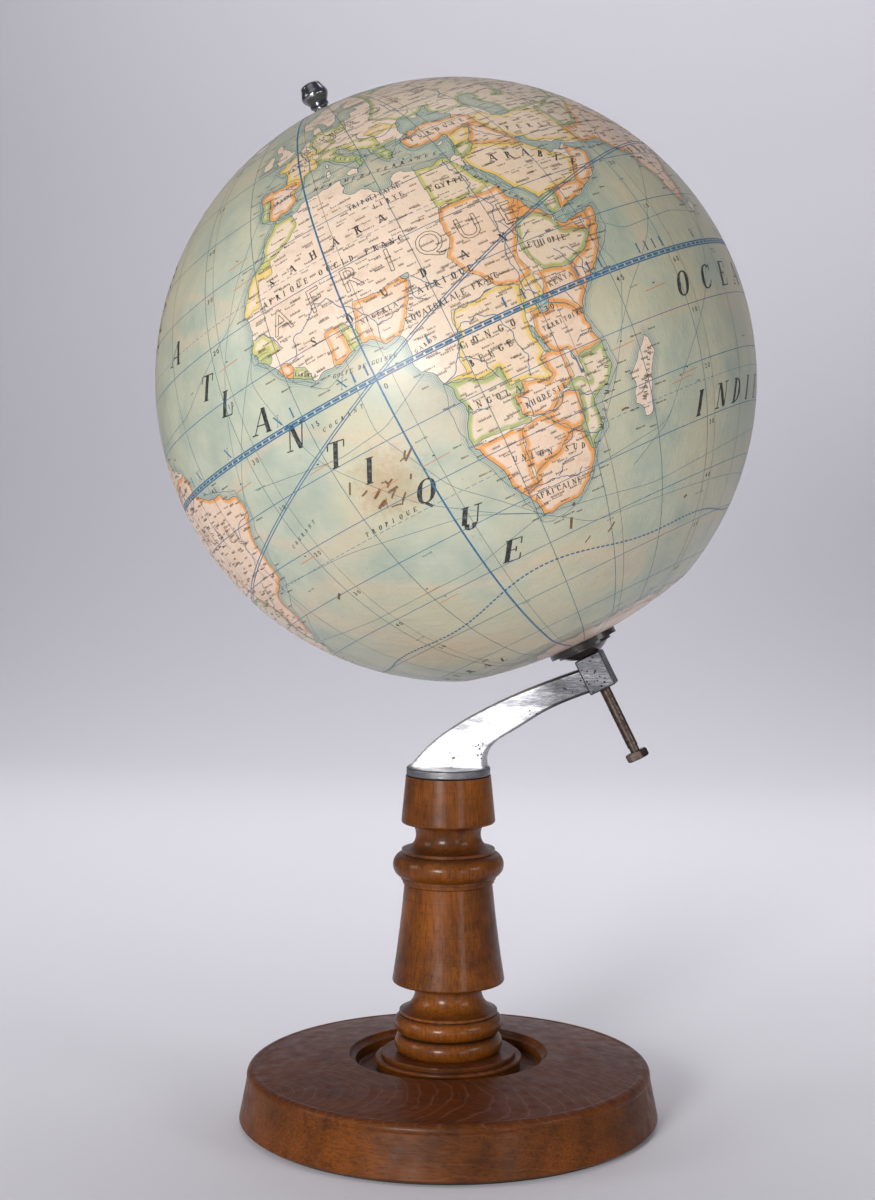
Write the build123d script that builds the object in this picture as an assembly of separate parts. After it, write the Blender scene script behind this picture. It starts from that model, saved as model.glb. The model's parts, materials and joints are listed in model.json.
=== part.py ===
"""Desktop globe on a turned wooden stand.

All lengths are millimetres and all angles degrees.  +Z is up.  The origin is
the centre of the underside, on the axis of the column.  The polar axis of the
globe lies in the XZ plane: the south pole leans towards +X, over the arm.
Heights called 'along the axis' are measured from the centre of the globe
towards the north pole.
"""
from build123d import *
import math
import os

os.makedirs("parts", exist_ok=True)

# ---- globe -----------------------------------------------------------------
globe_radius = 165.0        # over the paper
south_flattening = 5.5      # how far the south pole is flattened
south_cap_radius = 262.0    # the flattened cap is part of a larger sphere
south_blend_radius = 28.0   # rounds the line where the cap meets the sphere
paper_thickness = 0.30
paste_thickness = 0.05
shell_thickness = 3.0
gore_count = 12
calotte_angle = 19.0        # half angle of each polar disc of paper
strip_thickness = 0.6
strip_half_width = 12.0
plug_radius = 24.0
plug_depth = 20.0
post_radius = 11.0
post_socket_depth = 5.0     # how far the post enters each plug
post_bore_gap = 1.2

# ---- where the arm holds the globe ---------------------------------------------
axis_tilt = 26.5
arm_reach = 78.67           # column axis to the middle of the boss's top
arm_rise = 63.53            # top of the mount to the middle of the boss's top

# ---- axle and its fittings -----------------------------------------------------
axle_radius = 3.0
running_gap = 0.08          # between the axle and whatever turns or slides on it
thread_gap = 0.05           # between a screw and its nut or tapped hole
body_gap = 0.3              # between pieces that move against each other
head_across_flats = 11.0
head_height = 4.5
head_chamfer = 0.7
axle_drop = 38.5            # bare axle between the boss and the bolt head
axle_neck_length = 3.0
axle_neck_cut = 0.35
thread_radius = 2.5
thread_length = 12.0
bush_wall = 1.4
bush_rim_radius = 7.5
bush_rim_height = 1.0
washer_radius = 6.6
washer_thickness = 0.8
finial_ring_radius = 5.3
finial_neck_radius = 4.1
finial_ring_height = 1.5
finial_neck_height = 3.6
knob_radius = 7.7
knob_height = 12.2
knob_waist_step = 0.9       # foot of the knob, wider than the neck
belly_level = 0.42          # height of the widest turn, as a share of the knob
cheek_level = 0.78
cheek_share = 0.80          # radius at the cheek, as a share of the widest
flange_disc_radius = 19.5
flange_disc_thickness = 2.2
collar_disc_radius = 15.5
collar_disc_thickness = 1.6
collar_top_radius = 13.6
collar_foot_radius = 7.4
collar_cone_height = 3.7
collar_cone_bulge = 0.6

# ---- cast arm --------------------------------------------------------------------
boss_width = 15.2
boss_depth = 16.4
boss_height = 20.2
boss_round = 0.9
web_thickness = 14.0
web_round = 1.6
mount_radius = 23.5
mount_thickness = 5.0
mount_round = 1.3
arm_thread_depth = 13.0
heel_share = 0.88           # where the web meets the mount, as shares of its radius
toe_share = 0.92
web_top_level = 0.28        # where the web's edges meet the boss, down from its top
web_low_level = 0.97
# heel to boss and toe to boss, as shares of run and rise
web_back = ((0.17, 0.306), (0.34, 0.50), (0.61, 0.735))
web_belly = ((0.732, 0.857), (0.507, 0.704), (0.258, 0.478), (0.001, 0.154))

# ---- column -----------------------------------------------------------------------
column_foot_z = 38.8        # the seat on the base
foot_height = 39.8          # seat to the skirt
skirt_height = 55.4
cap_height = 34.6           # skirt to the drum
drum_height = 26.8
column_bore_gap = 0.6
tenon_radius = 11.0
tenon_length = 16.0
tenon_gap = 0.1
foot_torus_radius = 30.4
foot_torus_height = 10.75
foot_groove_radius = 26.8
foot_fillet_radius = 27.6
groove_height = 0.7         # narrow groove above the two foot tori
groove_depth = 0.9
foot_band_height = 1.4
foot_neck_radius = 18.9
foot_neck_level = 0.62      # height of the neck, as a share of the hollow
foot_throat_step = 1.0      # top of the hollow, wider than the neck
skirt_low_radius = 31.6
skirt_top_radius = 24.8
skirt_hollow = 0.4          # how far the side of the skirt curves in
ring_slope = 1.0            # slope from the skirt out to the ring's foot
ring_slope_height = 0.9
ring_band_height = 2.0
ring_step = 0.9
ring_step_height = 1.4
ring_torus_radius = 31.2
ring_torus_height = 13.6
ring_fillet_radius = 26.2
cap_groove_height = 0.3
cap_groove_depth = 0.6
cap_band_height = 1.6
cap_hollow_step = 1.0       # foot of the hollow, narrower than the band
cap_neck_radius = 18.3
cap_neck_lift = 0.6         # the neck lies above the middle of the hollow
cap_throat_step = 2.4
drum_low_radius = 26.4
drum_top_radius = 23.9
turned_edge = 1.3           # rounding of the sharp turned edges

# ---- base --------------------------------------------------------------------------
felt_thickness = 2.0
felt_radius = 113.0
base_radius = 118.0
base_top_radius = 112.6
base_edge_z = 30.6
base_edge_round = 4.5
base_foot_chamfer = 1.4
crown = 0.7                 # how far the top bulges between edge and rim
rim_radius = 55.5
rim_z = 37.8
rim_round = 0.8
moat_ledge_radius = 52.4
moat_ledge_drop = 3.0
ledge_width = 0.7
ledge_chamfer = 0.5
moat_lean = 0.6             # the moat's wall leans in towards its floor
moat_round = 1.5
moat_floor_z = 28.5
step_radius = 40.6
step_z = 36.2
step_bead_height = 2.6
step_bead = 0.9
step_undercut = 0.2
disc_radius = 37.8
disc_edge = 0.8

# ---- tie rod -----------------------------------------------------------------------
tie_radius = 4.0
nut_pocket_radius = 15.0
nut_pocket_depth = 13.0
tie_washer_radius = 13.5
tie_washer_thickness = 2.0
nut_across_flats = 13.0
nut_height = 6.5
dowel_radius = 1.5
dowel_length = 11.0
dowel_in_mount = 3.5
dowel_offset = 15.0
rod_below_nut = 1.5
rod_short = 1.0             # the rod stops short of the end of its tapped hole

# ---- worked out from the sizes above --------------------------------------------------
south_height = globe_radius - south_flattening
skirt_low_z = column_foot_z + foot_height
skirt_top_z = skirt_low_z + skirt_height
drum_low_z = skirt_top_z + cap_height
column_top_z = drum_low_z + drum_height
shell_inset = paper_thickness + paste_thickness
inner_inset = shell_inset + shell_thickness
bush_inner = axle_radius + running_gap
bush_outer = bush_inner + bush_wall
hub_z = -south_height - paste_thickness
collar_z = hub_z - flange_disc_thickness
collar_foot_z = collar_z - collar_disc_thickness - collar_cone_height
boss_top_z = collar_foot_z - body_gap
boss_low_z = boss_top_z - boss_height
head_top_z = boss_low_z - axle_drop
bush_rim_z = globe_radius + paste_thickness
washer_z = bush_rim_z + bush_rim_height + body_gap
finial_z = washer_z + washer_thickness
mount_top_z = column_top_z + mount_thickness
globe_centre_x = arm_reach + boss_top_z * math.sin(math.radians(axis_tilt))
globe_centre_z = mount_top_z + arm_rise - boss_top_z * math.cos(math.radians(axis_tilt))
corner_share = 1 - math.sqrt(0.5)     # where a quarter round's middle lies, as a share of its size


def on_axis(shape):
    """Stand a shape made about the Z axis on the tilted polar axis."""
    return Location((globe_centre_x, 0, globe_centre_z), (0, -axis_tilt, 0)) * shape


def axis_point(along):
    """X and Z of a point on the polar axis."""
    tilt = math.radians(axis_tilt)
    return globe_centre_x - along * math.sin(tilt), globe_centre_z + along * math.cos(tilt)


def turn(lines):
    """Turn a closed outline, drawn with X as radius and Y as height, about Z."""
    face = Plane.XZ * make_face(lines)
    return revolve(face, Axis.Z)


def tube(outer, inner, low, high):
    """A plain tube about the Z axis."""
    body = Pos(0, 0, low) * Cylinder(outer, high - low, align=(Align.CENTER, Align.CENTER, Align.MIN))
    hole = Pos(0, 0, low) * Cylinder(inner, high - low, align=(Align.CENTER, Align.CENTER, Align.MIN))
    return body - hole


def rod(radius, low, high):
    """A plain rod about the Z axis."""
    return Pos(0, 0, low) * Cylinder(radius, high - low, align=(Align.CENTER, Align.CENTER, Align.MIN))


def hexagon(across_flats, low, high, chamfer_size):
    """A hexagon prism about the Z axis with its corners turned off at both ends."""
    corner_radius = across_flats / math.sqrt(3)
    prism = Pos(0, 0, low) * extrude(RegularPolygon(corner_radius, 6), high - low)
    cone = rod(corner_radius, low, high)
    cone = chamfer(cone.edges().filter_by(GeomType.CIRCLE), chamfer_size)
    return prism & cone


def save(shape, name):
    """Write one piece as parts/NAME.step."""
    shape.label = name
    export_step(shape, f"parts/{name}.step")


# ---- globe skin ------------------------------------------------------------------------
def globe_half_face(inset):
    """Half section of the globe's surface, moved inwards by inset.

    A sphere, a flatter spherical cap at the south pole, and a round that is
    tangent to both.
    """
    cap_centre = south_cap_radius - south_height
    reach = globe_radius - south_blend_radius
    cap_reach = south_cap_radius - south_blend_radius
    round_y = (reach ** 2 - cap_reach ** 2 + cap_centre ** 2) / (2 * cap_centre)
    round_x = math.sqrt(reach ** 2 - round_y ** 2)
    sphere_end = math.degrees(math.atan2(round_y, round_x))
    cap_start = math.degrees(math.atan2(round_y - cap_centre, round_x))
    sphere = CenterArc((0, 0), globe_radius - inset, 90, sphere_end - 90)
    corner = CenterArc((round_x, round_y), south_blend_radius - inset, sphere_end, cap_start - sphere_end)
    cap = CenterArc((0, cap_centre), south_cap_radius - inset, cap_start, -90 - cap_start)
    closing = Line(cap @ 1, sphere @ 0)
    return make_face([sphere, corner, cap, closing])


def skin_face(outer_inset, inner_inset_value):
    """Half section of a layer of the globe between two insets."""
    return globe_half_face(outer_inset) - globe_half_face(inner_inset_value)


def pole_wedge(north):
    """Triangle that covers the half section within calotte_angle of a pole."""
    reach = 2 * globe_radius
    spread = reach * math.tan(math.radians(calotte_angle))
    side = reach if north else -reach
    return make_face(Polyline((0, 0), (spread, side), (0, side), (0, 0)))


def box_face(left, right, low, high):
    """Rectangle in the half section."""
    return Pos((left + right) / 2, (low + high) / 2) * Rectangle(right - left, high - low)


def turn_face(face):
    """Turn a half section about the polar axis and stand it in place."""
    return on_axis(revolve(Plane.XZ * face, Axis.Z))


def map_gore(number):
    """One of the printed paper gores, a tapering slice from calotte to calotte."""
    face = skin_face(0, paper_thickness) - pole_wedge(True) - pole_wedge(False)
    slice_angle = 360 / gore_count
    gore = revolve(Plane.XZ * face, Axis.Z, slice_angle)
    return on_axis(Rot(0, 0, number * slice_angle) * gore)


def calotte(north):
    """Round disc of paper that covers the tips of the gores at a pole."""
    face = skin_face(0, paper_thickness) & pole_wedge(north)
    return turn_face(face - box_face(0, bush_outer, -2 * globe_radius, 2 * globe_radius))


def half_shell(north):
    """Pressed papier-mache half of the globe, open at the pole for the bush."""
    side = 1 if north else -1
    middle = side * globe_radius
    half = box_face(bush_outer, 2 * globe_radius, min(0, middle), max(0, middle))
    return turn_face(skin_face(shell_inset, inner_inset) & half)


def equator_strip():
    """Strip of linen glued inside over the joint of the two half shells."""
    band = box_face(0, 2 * globe_radius, -strip_half_width, strip_half_width)
    return turn_face(skin_face(inner_inset, inner_inset + strip_thickness) & band)


def plug_end(north):
    """Where a pole plug's inner face lies, along the axis."""
    pole = globe_radius if north else south_height
    side = 1 if north else -1
    return side * (pole - inner_inset - plug_depth)


def pole_plug(north):
    """Turned wooden block glued inside the shell at a pole, with a bush hole."""
    inner_face = plug_end(north)
    side = 1 if north else -1
    far = side * globe_radius
    block = box_face(bush_outer, plug_radius, min(inner_face, far), max(inner_face, far))
    socket = inner_face + side * post_socket_depth
    recess = box_face(0, post_radius, min(inner_face, socket), max(inner_face, socket))
    return turn_face((globe_half_face(inner_inset) & block) - recess)


def core_post():
    """Bored wooden post that holds the two pole plugs apart."""
    low = plug_end(False) - post_socket_depth
    high = plug_end(True) + post_socket_depth
    return on_axis(tube(post_radius, bush_outer + post_bore_gap, low, high))


# ---- bearings and hub ---------------------------------------------------------------------
def north_bush():
    """Brass bush in the north plug, with a rim that lies on the paper."""
    low = plug_end(True) + post_socket_depth
    sleeve = tube(bush_outer, bush_inner, low, bush_rim_z)
    rim = tube(bush_rim_radius, bush_inner, bush_rim_z, bush_rim_z + bush_rim_height)
    return on_axis(sleeve + rim)


def south_bush():
    """Brass bush that runs through the hub and the south plug."""
    high = plug_end(False) - post_socket_depth
    return on_axis(tube(bush_outer, bush_inner, collar_foot_z, high))


def south_flange():
    """Dark turned disc that covers the south pole and follows its curve."""
    cap_centre = south_cap_radius - south_height
    reach = south_cap_radius + paste_thickness
    rim_y = cap_centre - math.sqrt(reach ** 2 - flange_disc_radius ** 2)
    bore_y = cap_centre - math.sqrt(reach ** 2 - bush_outer ** 2)
    middle = (bush_outer + flange_disc_radius) / 2
    middle_y = cap_centre - math.sqrt(reach ** 2 - middle ** 2)
    seat = ThreePointArc((bush_outer, bore_y), (middle, middle_y), (flange_disc_radius, rim_y))
    rest = Polyline((flange_disc_radius, rim_y), (flange_disc_radius, collar_z),
                    (bush_outer, collar_z), (bush_outer, bore_y))
    return on_axis(turn([seat, rest]))


def south_collar():
    """Stepped dark collar under the flange, with a hollow cone down to the boss."""
    step_low = collar_z - collar_disc_thickness
    bulge = (collar_top_radius + collar_foot_radius) / 2 + collar_cone_bulge
    cone = ThreePointArc((collar_top_radius, step_low),
                         (bulge, (step_low + collar_foot_z) / 2),
                         (collar_foot_radius, collar_foot_z))
    rest = Polyline((collar_foot_radius, collar_foot_z), (bush_outer, collar_foot_z),
                    (bush_outer, collar_z), (collar_disc_radius, collar_z),
                    (collar_disc_radius, step_low), (collar_top_radius, step_low))
    return on_axis(turn([cone, rest]))


# ---- axle ------------------------------------------------------------------------------------
def axle_bolt():
    """Long steel bolt through the boss and the globe, with a hexagon head below."""
    shoulder = finial_z
    shank = rod(axle_radius, head_top_z, shoulder)
    neck = tube(axle_radius, axle_radius - axle_neck_cut, head_top_z, head_top_z + axle_neck_length)
    head = hexagon(head_across_flats, head_top_z - head_height, head_top_z, head_chamfer)
    screw = rod(thread_radius, shoulder, finial_z + thread_length)
    return on_axis(shank - neck + head + screw)


def north_washer():
    """Steel washer between the bush rim and the finial."""
    hole = axle_radius + thread_gap
    return on_axis(tube(washer_radius, hole, washer_z, finial_z))


def finial():
    """Polished egg-shaped knob that screws on the top of the axle."""
    bore = thread_radius + thread_gap
    bore_top = finial_z + thread_length + thread_gap
    ring = finial_z + finial_ring_height
    neck = ring + finial_neck_height
    knob_foot = neck + finial_ring_height
    knob_top = knob_foot + knob_height
    knob_waist = finial_neck_radius + knob_waist_step
    belly_z = knob_foot + belly_level * knob_height
    cheek_z = knob_foot + cheek_level * knob_height
    cheek_radius = cheek_share * knob_radius
    neck_middle = (ring + neck) / 2
    stem = [Line((bore, finial_z), (finial_ring_radius, finial_z)),
            Line((finial_ring_radius, finial_z), (finial_ring_radius, ring)),
            ThreePointArc((finial_ring_radius, ring), (finial_neck_radius, neck_middle),
                          (finial_ring_radius, neck)),
            Line((finial_ring_radius, neck), (finial_ring_radius, knob_foot)),
            Line((finial_ring_radius, knob_foot), (knob_waist, knob_foot))]
    egg = Spline((knob_waist, knob_foot), (knob_radius, belly_z), (cheek_radius, cheek_z),
                 (0, knob_top), tangents=((0.6, 1.0), (-1.0, 0.0)))
    inside = Polyline((0, knob_top), (0, bore_top), (bore, bore_top), (bore, finial_z))
    return on_axis(turn(stem + [egg, inside]))


# ---- cast arm ----------------------------------------------------------------------------------
def arm_web():
    """Curved flat web of the arm, from its foot on the mount to the boss."""
    foot_z = mount_top_z - mount_thickness / 2
    heel = Vector(-heel_share * mount_radius, mount_top_z)
    toe = Vector(toe_share * mount_radius, mount_top_z)
    boss_upper = Vector(axis_point(boss_top_z - web_top_level * boss_height))
    boss_lower = Vector(axis_point(boss_top_z - web_low_level * boss_height))
    back = [(heel.X + run * (boss_upper - heel).X, heel.Y + rise * (boss_upper - heel).Y)
            for run, rise in web_back]
    belly = [(toe.X + run * (boss_lower - toe).X, toe.Y + rise * (boss_lower - toe).Y)
             for run, rise in web_belly]
    upper = Spline(heel, *back, boss_upper)
    lower = Spline(boss_lower, *belly, toe)
    foot = Polyline(toe, (toe.X, foot_z), (heel.X, foot_z), heel)
    face = Plane.XZ * make_face([upper, Line(boss_upper, boss_lower), lower, foot])
    web = extrude(face, web_thickness / 2, both=True)
    long_edges = web.edges().filter_by(GeomType.BSPLINE)
    return fillet(long_edges, web_round)


def arm():
    """Aluminium casting: round mount, curved web and square boss, in one piece."""
    mount = rod(mount_radius, column_top_z, mount_top_z)
    mount = fillet(mount.edges().filter_by(GeomType.CIRCLE), mount_round)
    boss = Pos(0, 0, boss_low_z + boss_height / 2) * Box(boss_width, boss_depth, boss_height)
    boss = fillet(boss.edges(), boss_round)
    boss = on_axis(boss)
    casting = mount + arm_web() + boss
    bore = on_axis(rod(axle_radius + running_gap, boss_low_z - boss_height, boss_top_z + boss_height))
    tapped = rod(tie_radius + thread_gap, column_top_z, column_top_z + arm_thread_depth)
    pin_hole = Pos(-dowel_offset, 0, 0) * rod(dowel_radius, column_top_z, column_top_z + dowel_in_mount)
    return casting - bore - tapped - pin_hole


def arm_dowel():
    """Steel pin that keeps the arm from turning on the column."""
    high = column_top_z + dowel_in_mount
    return Pos(-dowel_offset, 0, 0) * rod(dowel_radius, high - dowel_length, high)


# ---- turned column ---------------------------------------------------------------------------------
def half_round(radius, low_radius, low, high_radius, high):
    """Outline of a torus between two heights, bulging out to radius."""
    return ThreePointArc((low_radius, low), (radius, (low + high) / 2), (high_radius, high))


def quarter_round(radius, z):
    """Outline of a lower outside edge that is rounded by turned_edge."""
    return ThreePointArc((radius - turned_edge, z),
                         (radius - corner_share * turned_edge, z + corner_share * turned_edge),
                         (radius, z + turned_edge))


def column():
    """Turned beech column with its tenon, bored for the tie rod."""
    bore = tie_radius + column_bore_gap
    tenon_low = column_foot_z - tenon_length
    first_torus_z = column_foot_z + foot_torus_height
    second_torus_z = first_torus_z + foot_torus_height
    groove_z = second_torus_z + groove_height
    hollow_z = groove_z + foot_band_height
    groove_radius = foot_fillet_radius - groove_depth
    neck_z = hollow_z + foot_neck_level * (skirt_low_z - hollow_z)
    throat_radius = foot_neck_radius + foot_throat_step
    skirt_middle = ((skirt_low_radius + skirt_top_radius) / 2 - skirt_hollow, (skirt_low_z + skirt_top_z) / 2)
    ring_foot_radius = skirt_top_radius + ring_slope
    ring_foot_z = skirt_top_z + ring_slope_height
    ring_band_z = ring_foot_z + ring_band_height
    ring_low_radius = ring_foot_radius + ring_step
    ring_low_z = ring_band_z + ring_step_height
    ring_high_z = ring_low_z + ring_torus_height
    cap_groove_radius = ring_fillet_radius - cap_groove_depth
    cap_groove_z = ring_high_z + cap_groove_height
    cap_hollow_z = cap_groove_z + cap_band_height
    cap_hollow_radius = ring_fillet_radius - cap_hollow_step
    cap_neck_z = (cap_hollow_z + drum_low_z) / 2 + cap_neck_lift
    cap_throat_radius = cap_neck_radius + cap_throat_step

    outline = [
        Polyline((bore, tenon_low), (tenon_radius, tenon_low), (tenon_radius, column_foot_z),
                 (foot_fillet_radius, column_foot_z)),
        half_round(foot_torus_radius, foot_fillet_radius, column_foot_z, foot_groove_radius, first_torus_z),
        half_round(foot_torus_radius, foot_groove_radius, first_torus_z, foot_fillet_radius, second_torus_z),
        Polyline((foot_fillet_radius, second_torus_z), (groove_radius, second_torus_z),
                 (groove_radius, groove_z), (foot_fillet_radius, groove_z),
                 (foot_fillet_radius, hollow_z), (groove_radius, hollow_z)),
        Spline((groove_radius, hollow_z), (foot_neck_radius, neck_z), (throat_radius, skirt_low_z),
               tangents=((-1.0, 0.5), (0.35, 1.0))),
        Line((throat_radius, skirt_low_z), (skirt_low_radius - turned_edge, skirt_low_z)),
        quarter_round(skirt_low_radius, skirt_low_z),
        ThreePointArc((skirt_low_radius, skirt_low_z + turned_edge), skirt_middle,
                      (skirt_top_radius, skirt_top_z)),
        Polyline((skirt_top_radius, skirt_top_z), (ring_foot_radius, ring_foot_z),
                 (ring_foot_radius, ring_band_z), (ring_low_radius, ring_band_z),
                 (ring_low_radius, ring_low_z)),
        half_round(ring_torus_radius, ring_low_radius, ring_low_z, ring_fillet_radius, ring_high_z),
        Polyline((ring_fillet_radius, ring_high_z), (cap_groove_radius, ring_high_z),
                 (cap_groove_radius, cap_groove_z), (ring_fillet_radius, cap_groove_z),
                 (ring_fillet_radius, cap_hollow_z), (cap_hollow_radius, cap_hollow_z)),
        Spline((cap_hollow_radius, cap_hollow_z), (cap_neck_radius, cap_neck_z),
               (cap_throat_radius, drum_low_z), tangents=((-1.0, 0.25), (0.8, 1.0))),
        Line((cap_throat_radius, drum_low_z), (drum_low_radius - turned_edge, drum_low_z)),
        quarter_round(drum_low_radius, drum_low_z),
        Line((drum_low_radius, drum_low_z + turned_edge), (drum_top_radius, column_top_z)),
        Polyline((drum_top_radius, column_top_z), (bore, column_top_z), (bore, tenon_low)),
    ]
    wood = turn(outline)
    pin_low = column_top_z + dowel_in_mount - dowel_length
    pin_hole = Pos(-dowel_offset, 0, 0) * rod(dowel_radius, pin_low, column_top_z)
    return wood - pin_hole


# ---- turned base --------------------------------------------------------------------------------------
def base_plinth():
    """Turned beech base with a moat around the stepped seat of the column."""
    bore = tie_radius + column_bore_gap
    low = felt_thickness
    pocket_top = low + nut_pocket_depth
    seat_low = column_foot_z - tenon_length - tenon_gap
    socket = tenon_radius + tenon_gap
    side_z = base_edge_z - base_edge_round
    lean = (base_radius - base_top_radius) / (base_edge_z - low)
    side_radius = base_top_radius + lean * base_edge_round
    top_start = base_top_radius - base_edge_round
    rise = (rim_z - base_edge_z) / (base_top_radius - rim_radius)
    top_start_z = base_edge_z + rise * base_edge_round
    edge_middle = (base_top_radius - corner_share * base_edge_round / 2, base_edge_z)
    rim_outer = rim_radius + rim_round
    crown_middle = ((top_start + rim_outer) / 2, (top_start_z + rim_z) / 2 + crown)
    rim_middle = (rim_radius + corner_share * rim_round, rim_z - corner_share * rim_round)
    ledge_z = rim_z - moat_ledge_drop
    ledge_outer = moat_ledge_radius + ledge_width
    hollow_middle = (rim_radius - corner_share * moat_ledge_drop, ledge_z + corner_share * moat_ledge_drop)
    moat_wall = moat_ledge_radius - moat_lean
    moat_middle = (moat_wall - corner_share * moat_round, moat_floor_z + corner_share * moat_round)
    bead_z = step_z - step_bead_height
    bead_wall = step_radius - step_undercut
    disc_top = disc_radius - disc_edge

    outline = [
        Polyline((bore, pocket_top), (nut_pocket_radius, pocket_top), (nut_pocket_radius, low),
                 (base_radius - base_foot_chamfer, low), (base_radius, low + base_foot_chamfer),
                 (side_radius, side_z)),
        ThreePointArc((side_radius, side_z), edge_middle, (top_start, top_start_z)),
        ThreePointArc((top_start, top_start_z), crown_middle, (rim_outer, rim_z)),
        ThreePointArc((rim_outer, rim_z), rim_middle, (rim_radius, rim_z - rim_round)),
        ThreePointArc((rim_radius, rim_z - rim_round), hollow_middle, (ledge_outer, ledge_z)),
        Polyline((ledge_outer, ledge_z), (moat_ledge_radius, ledge_z - ledge_chamfer),
                 (moat_wall, moat_floor_z + moat_round)),
        ThreePointArc((moat_wall, moat_floor_z + moat_round), moat_middle,
                      (moat_wall - moat_round, moat_floor_z)),
        Polyline((moat_wall - moat_round, moat_floor_z), (bead_wall, moat_floor_z), (bead_wall, bead_z)),
        half_round(step_radius + step_bead, bead_wall, bead_z, step_radius, step_z),
        Polyline((step_radius, step_z), (disc_radius, step_z), (disc_radius, column_foot_z - disc_edge)),
        ThreePointArc((disc_radius, column_foot_z - disc_edge),
                      (disc_radius - corner_share * disc_edge, column_foot_z - corner_share * disc_edge),
                      (disc_top, column_foot_z)),
        Polyline((disc_top, column_foot_z), (socket, column_foot_z), (socket, seat_low),
                 (bore, seat_low), (bore, pocket_top)),
    ]
    return turn(outline)


def base_felt():
    """Green felt disc glued under the base, over the nut pocket."""
    return rod(felt_radius, 0, felt_thickness)


# ---- tie rod -------------------------------------------------------------------------------------------
def tie_parts():
    """Steel rod that pulls the arm, column and base together, with nut and washer."""
    pocket_top = felt_thickness + nut_pocket_depth
    washer_low = pocket_top - tie_washer_thickness
    nut_low = washer_low - nut_height
    rod_low = nut_low - rod_below_nut
    rod_high = column_top_z + arm_thread_depth - rod_short
    tie_rod = rod(tie_radius, rod_low, rod_high)
    washer = tube(tie_washer_radius, tie_radius + thread_gap, washer_low, pocket_top)
    nut = hexagon(nut_across_flats, nut_low, washer_low, head_chamfer)
    nut = nut - rod(tie_radius + thread_gap, nut_low, washer_low)
    return {"tie_rod": tie_rod, "tie_washer": washer, "tie_nut": nut}


# ---- write every piece ------------------------------------------------------------------------------------
save(base_felt(), "base_felt")
save(base_plinth(), "base_plinth")
save(column(), "column")
for tie_name, tie_shape in tie_parts().items():
    save(tie_shape, tie_name)
save(arm(), "arm")
save(arm_dowel(), "arm_dowel")
save(axle_bolt(), "axle_bolt")
save(north_washer(), "north_washer")
save(finial(), "finial")
save(south_flange(), "south_flange")
save(south_collar(), "south_collar")
save(north_bush(), "north_bush")
save(south_bush(), "south_bush")
save(core_post(), "core_post")
for is_north, pole in ((True, "north"), (False, "south")):
    save(half_shell(is_north), f"{pole}_shell")
    save(pole_plug(is_north), f"{pole}_plug")
    save(calotte(is_north), f"{pole}_calotte")
save(equator_strip(), "equator_strip")
for gore_number in range(gore_count):
    save(map_gore(gore_number), f"map_gore_{gore_number + 1:02d}")
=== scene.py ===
import json
import math
import bpy
import bmesh
import numpy as np
from mathutils import Vector, Matrix
from mathutils.kdtree import KDTree

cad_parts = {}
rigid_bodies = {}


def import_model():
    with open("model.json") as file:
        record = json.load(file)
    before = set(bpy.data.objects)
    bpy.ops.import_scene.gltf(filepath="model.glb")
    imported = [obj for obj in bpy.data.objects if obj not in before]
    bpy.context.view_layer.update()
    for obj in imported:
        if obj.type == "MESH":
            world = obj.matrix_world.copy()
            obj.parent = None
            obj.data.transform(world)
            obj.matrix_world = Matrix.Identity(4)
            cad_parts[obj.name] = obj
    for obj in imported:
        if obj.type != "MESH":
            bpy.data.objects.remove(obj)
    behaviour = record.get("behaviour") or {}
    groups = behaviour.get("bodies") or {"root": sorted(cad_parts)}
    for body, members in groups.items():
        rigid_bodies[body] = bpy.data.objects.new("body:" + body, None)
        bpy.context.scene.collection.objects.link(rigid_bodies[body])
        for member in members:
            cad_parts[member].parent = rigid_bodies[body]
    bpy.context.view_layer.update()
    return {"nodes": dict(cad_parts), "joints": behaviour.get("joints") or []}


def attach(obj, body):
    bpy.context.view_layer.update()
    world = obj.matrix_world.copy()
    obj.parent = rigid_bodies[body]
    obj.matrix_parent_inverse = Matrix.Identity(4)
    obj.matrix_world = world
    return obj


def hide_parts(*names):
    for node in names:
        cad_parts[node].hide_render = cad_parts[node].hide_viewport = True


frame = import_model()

# ---- base felt -------------------------------------------------------------------
# A disc of dark green wool felt glued under the foot, so that the stand doesn't
# scratch a desk.  Only its cut edge shows, as a dark line under the wood.


def linear(colour):
    """An sRGB hex colour as linear light with full alpha."""
    parts = [int(colour[i:i + 2], 16) / 255 for i in (1, 3, 5)]
    return tuple(c / 12.92 if c <= 0.04045 else ((c + 0.055) / 1.055) ** 2.4 for c in parts) + (1.0,)


def give(tree, node, inputs):
    """Sets each input of a node to a value or a hex colour, or links a socket or a node to it."""
    for key, value in inputs.items() if isinstance(inputs, dict) else enumerate(inputs):
        socket = node.inputs[key] if isinstance(key, int) else next(
            s for s in node.inputs if s.name == key and s.enabled)
        if isinstance(value, bpy.types.Node):
            value = next(s for s in value.outputs if s.enabled)
        if isinstance(value, bpy.types.NodeSocket):
            tree.links.new(value, socket)
        elif isinstance(value, str) and value.startswith("#"):
            socket.default_value = linear(value)
        else:
            socket.default_value = value


def add(tree, kind, inputs=(), **settings):
    """Adds a node, a shader node unless the kind names another, with its settings and inputs."""
    node = tree.nodes.new(kind if "Node" in kind else "ShaderNode" + kind)
    for name, value in settings.items():
        setattr(node, name, value)
    give(tree, node, inputs)
    return node


def new_material(name):
    """An empty node material and its tree, with a Principled shader linked to the output."""
    material = bpy.data.materials.new(name)
    material.use_nodes = True
    tree = material.node_tree
    shader = tree.nodes["Principled BSDF"]
    return material, tree, shader


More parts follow.
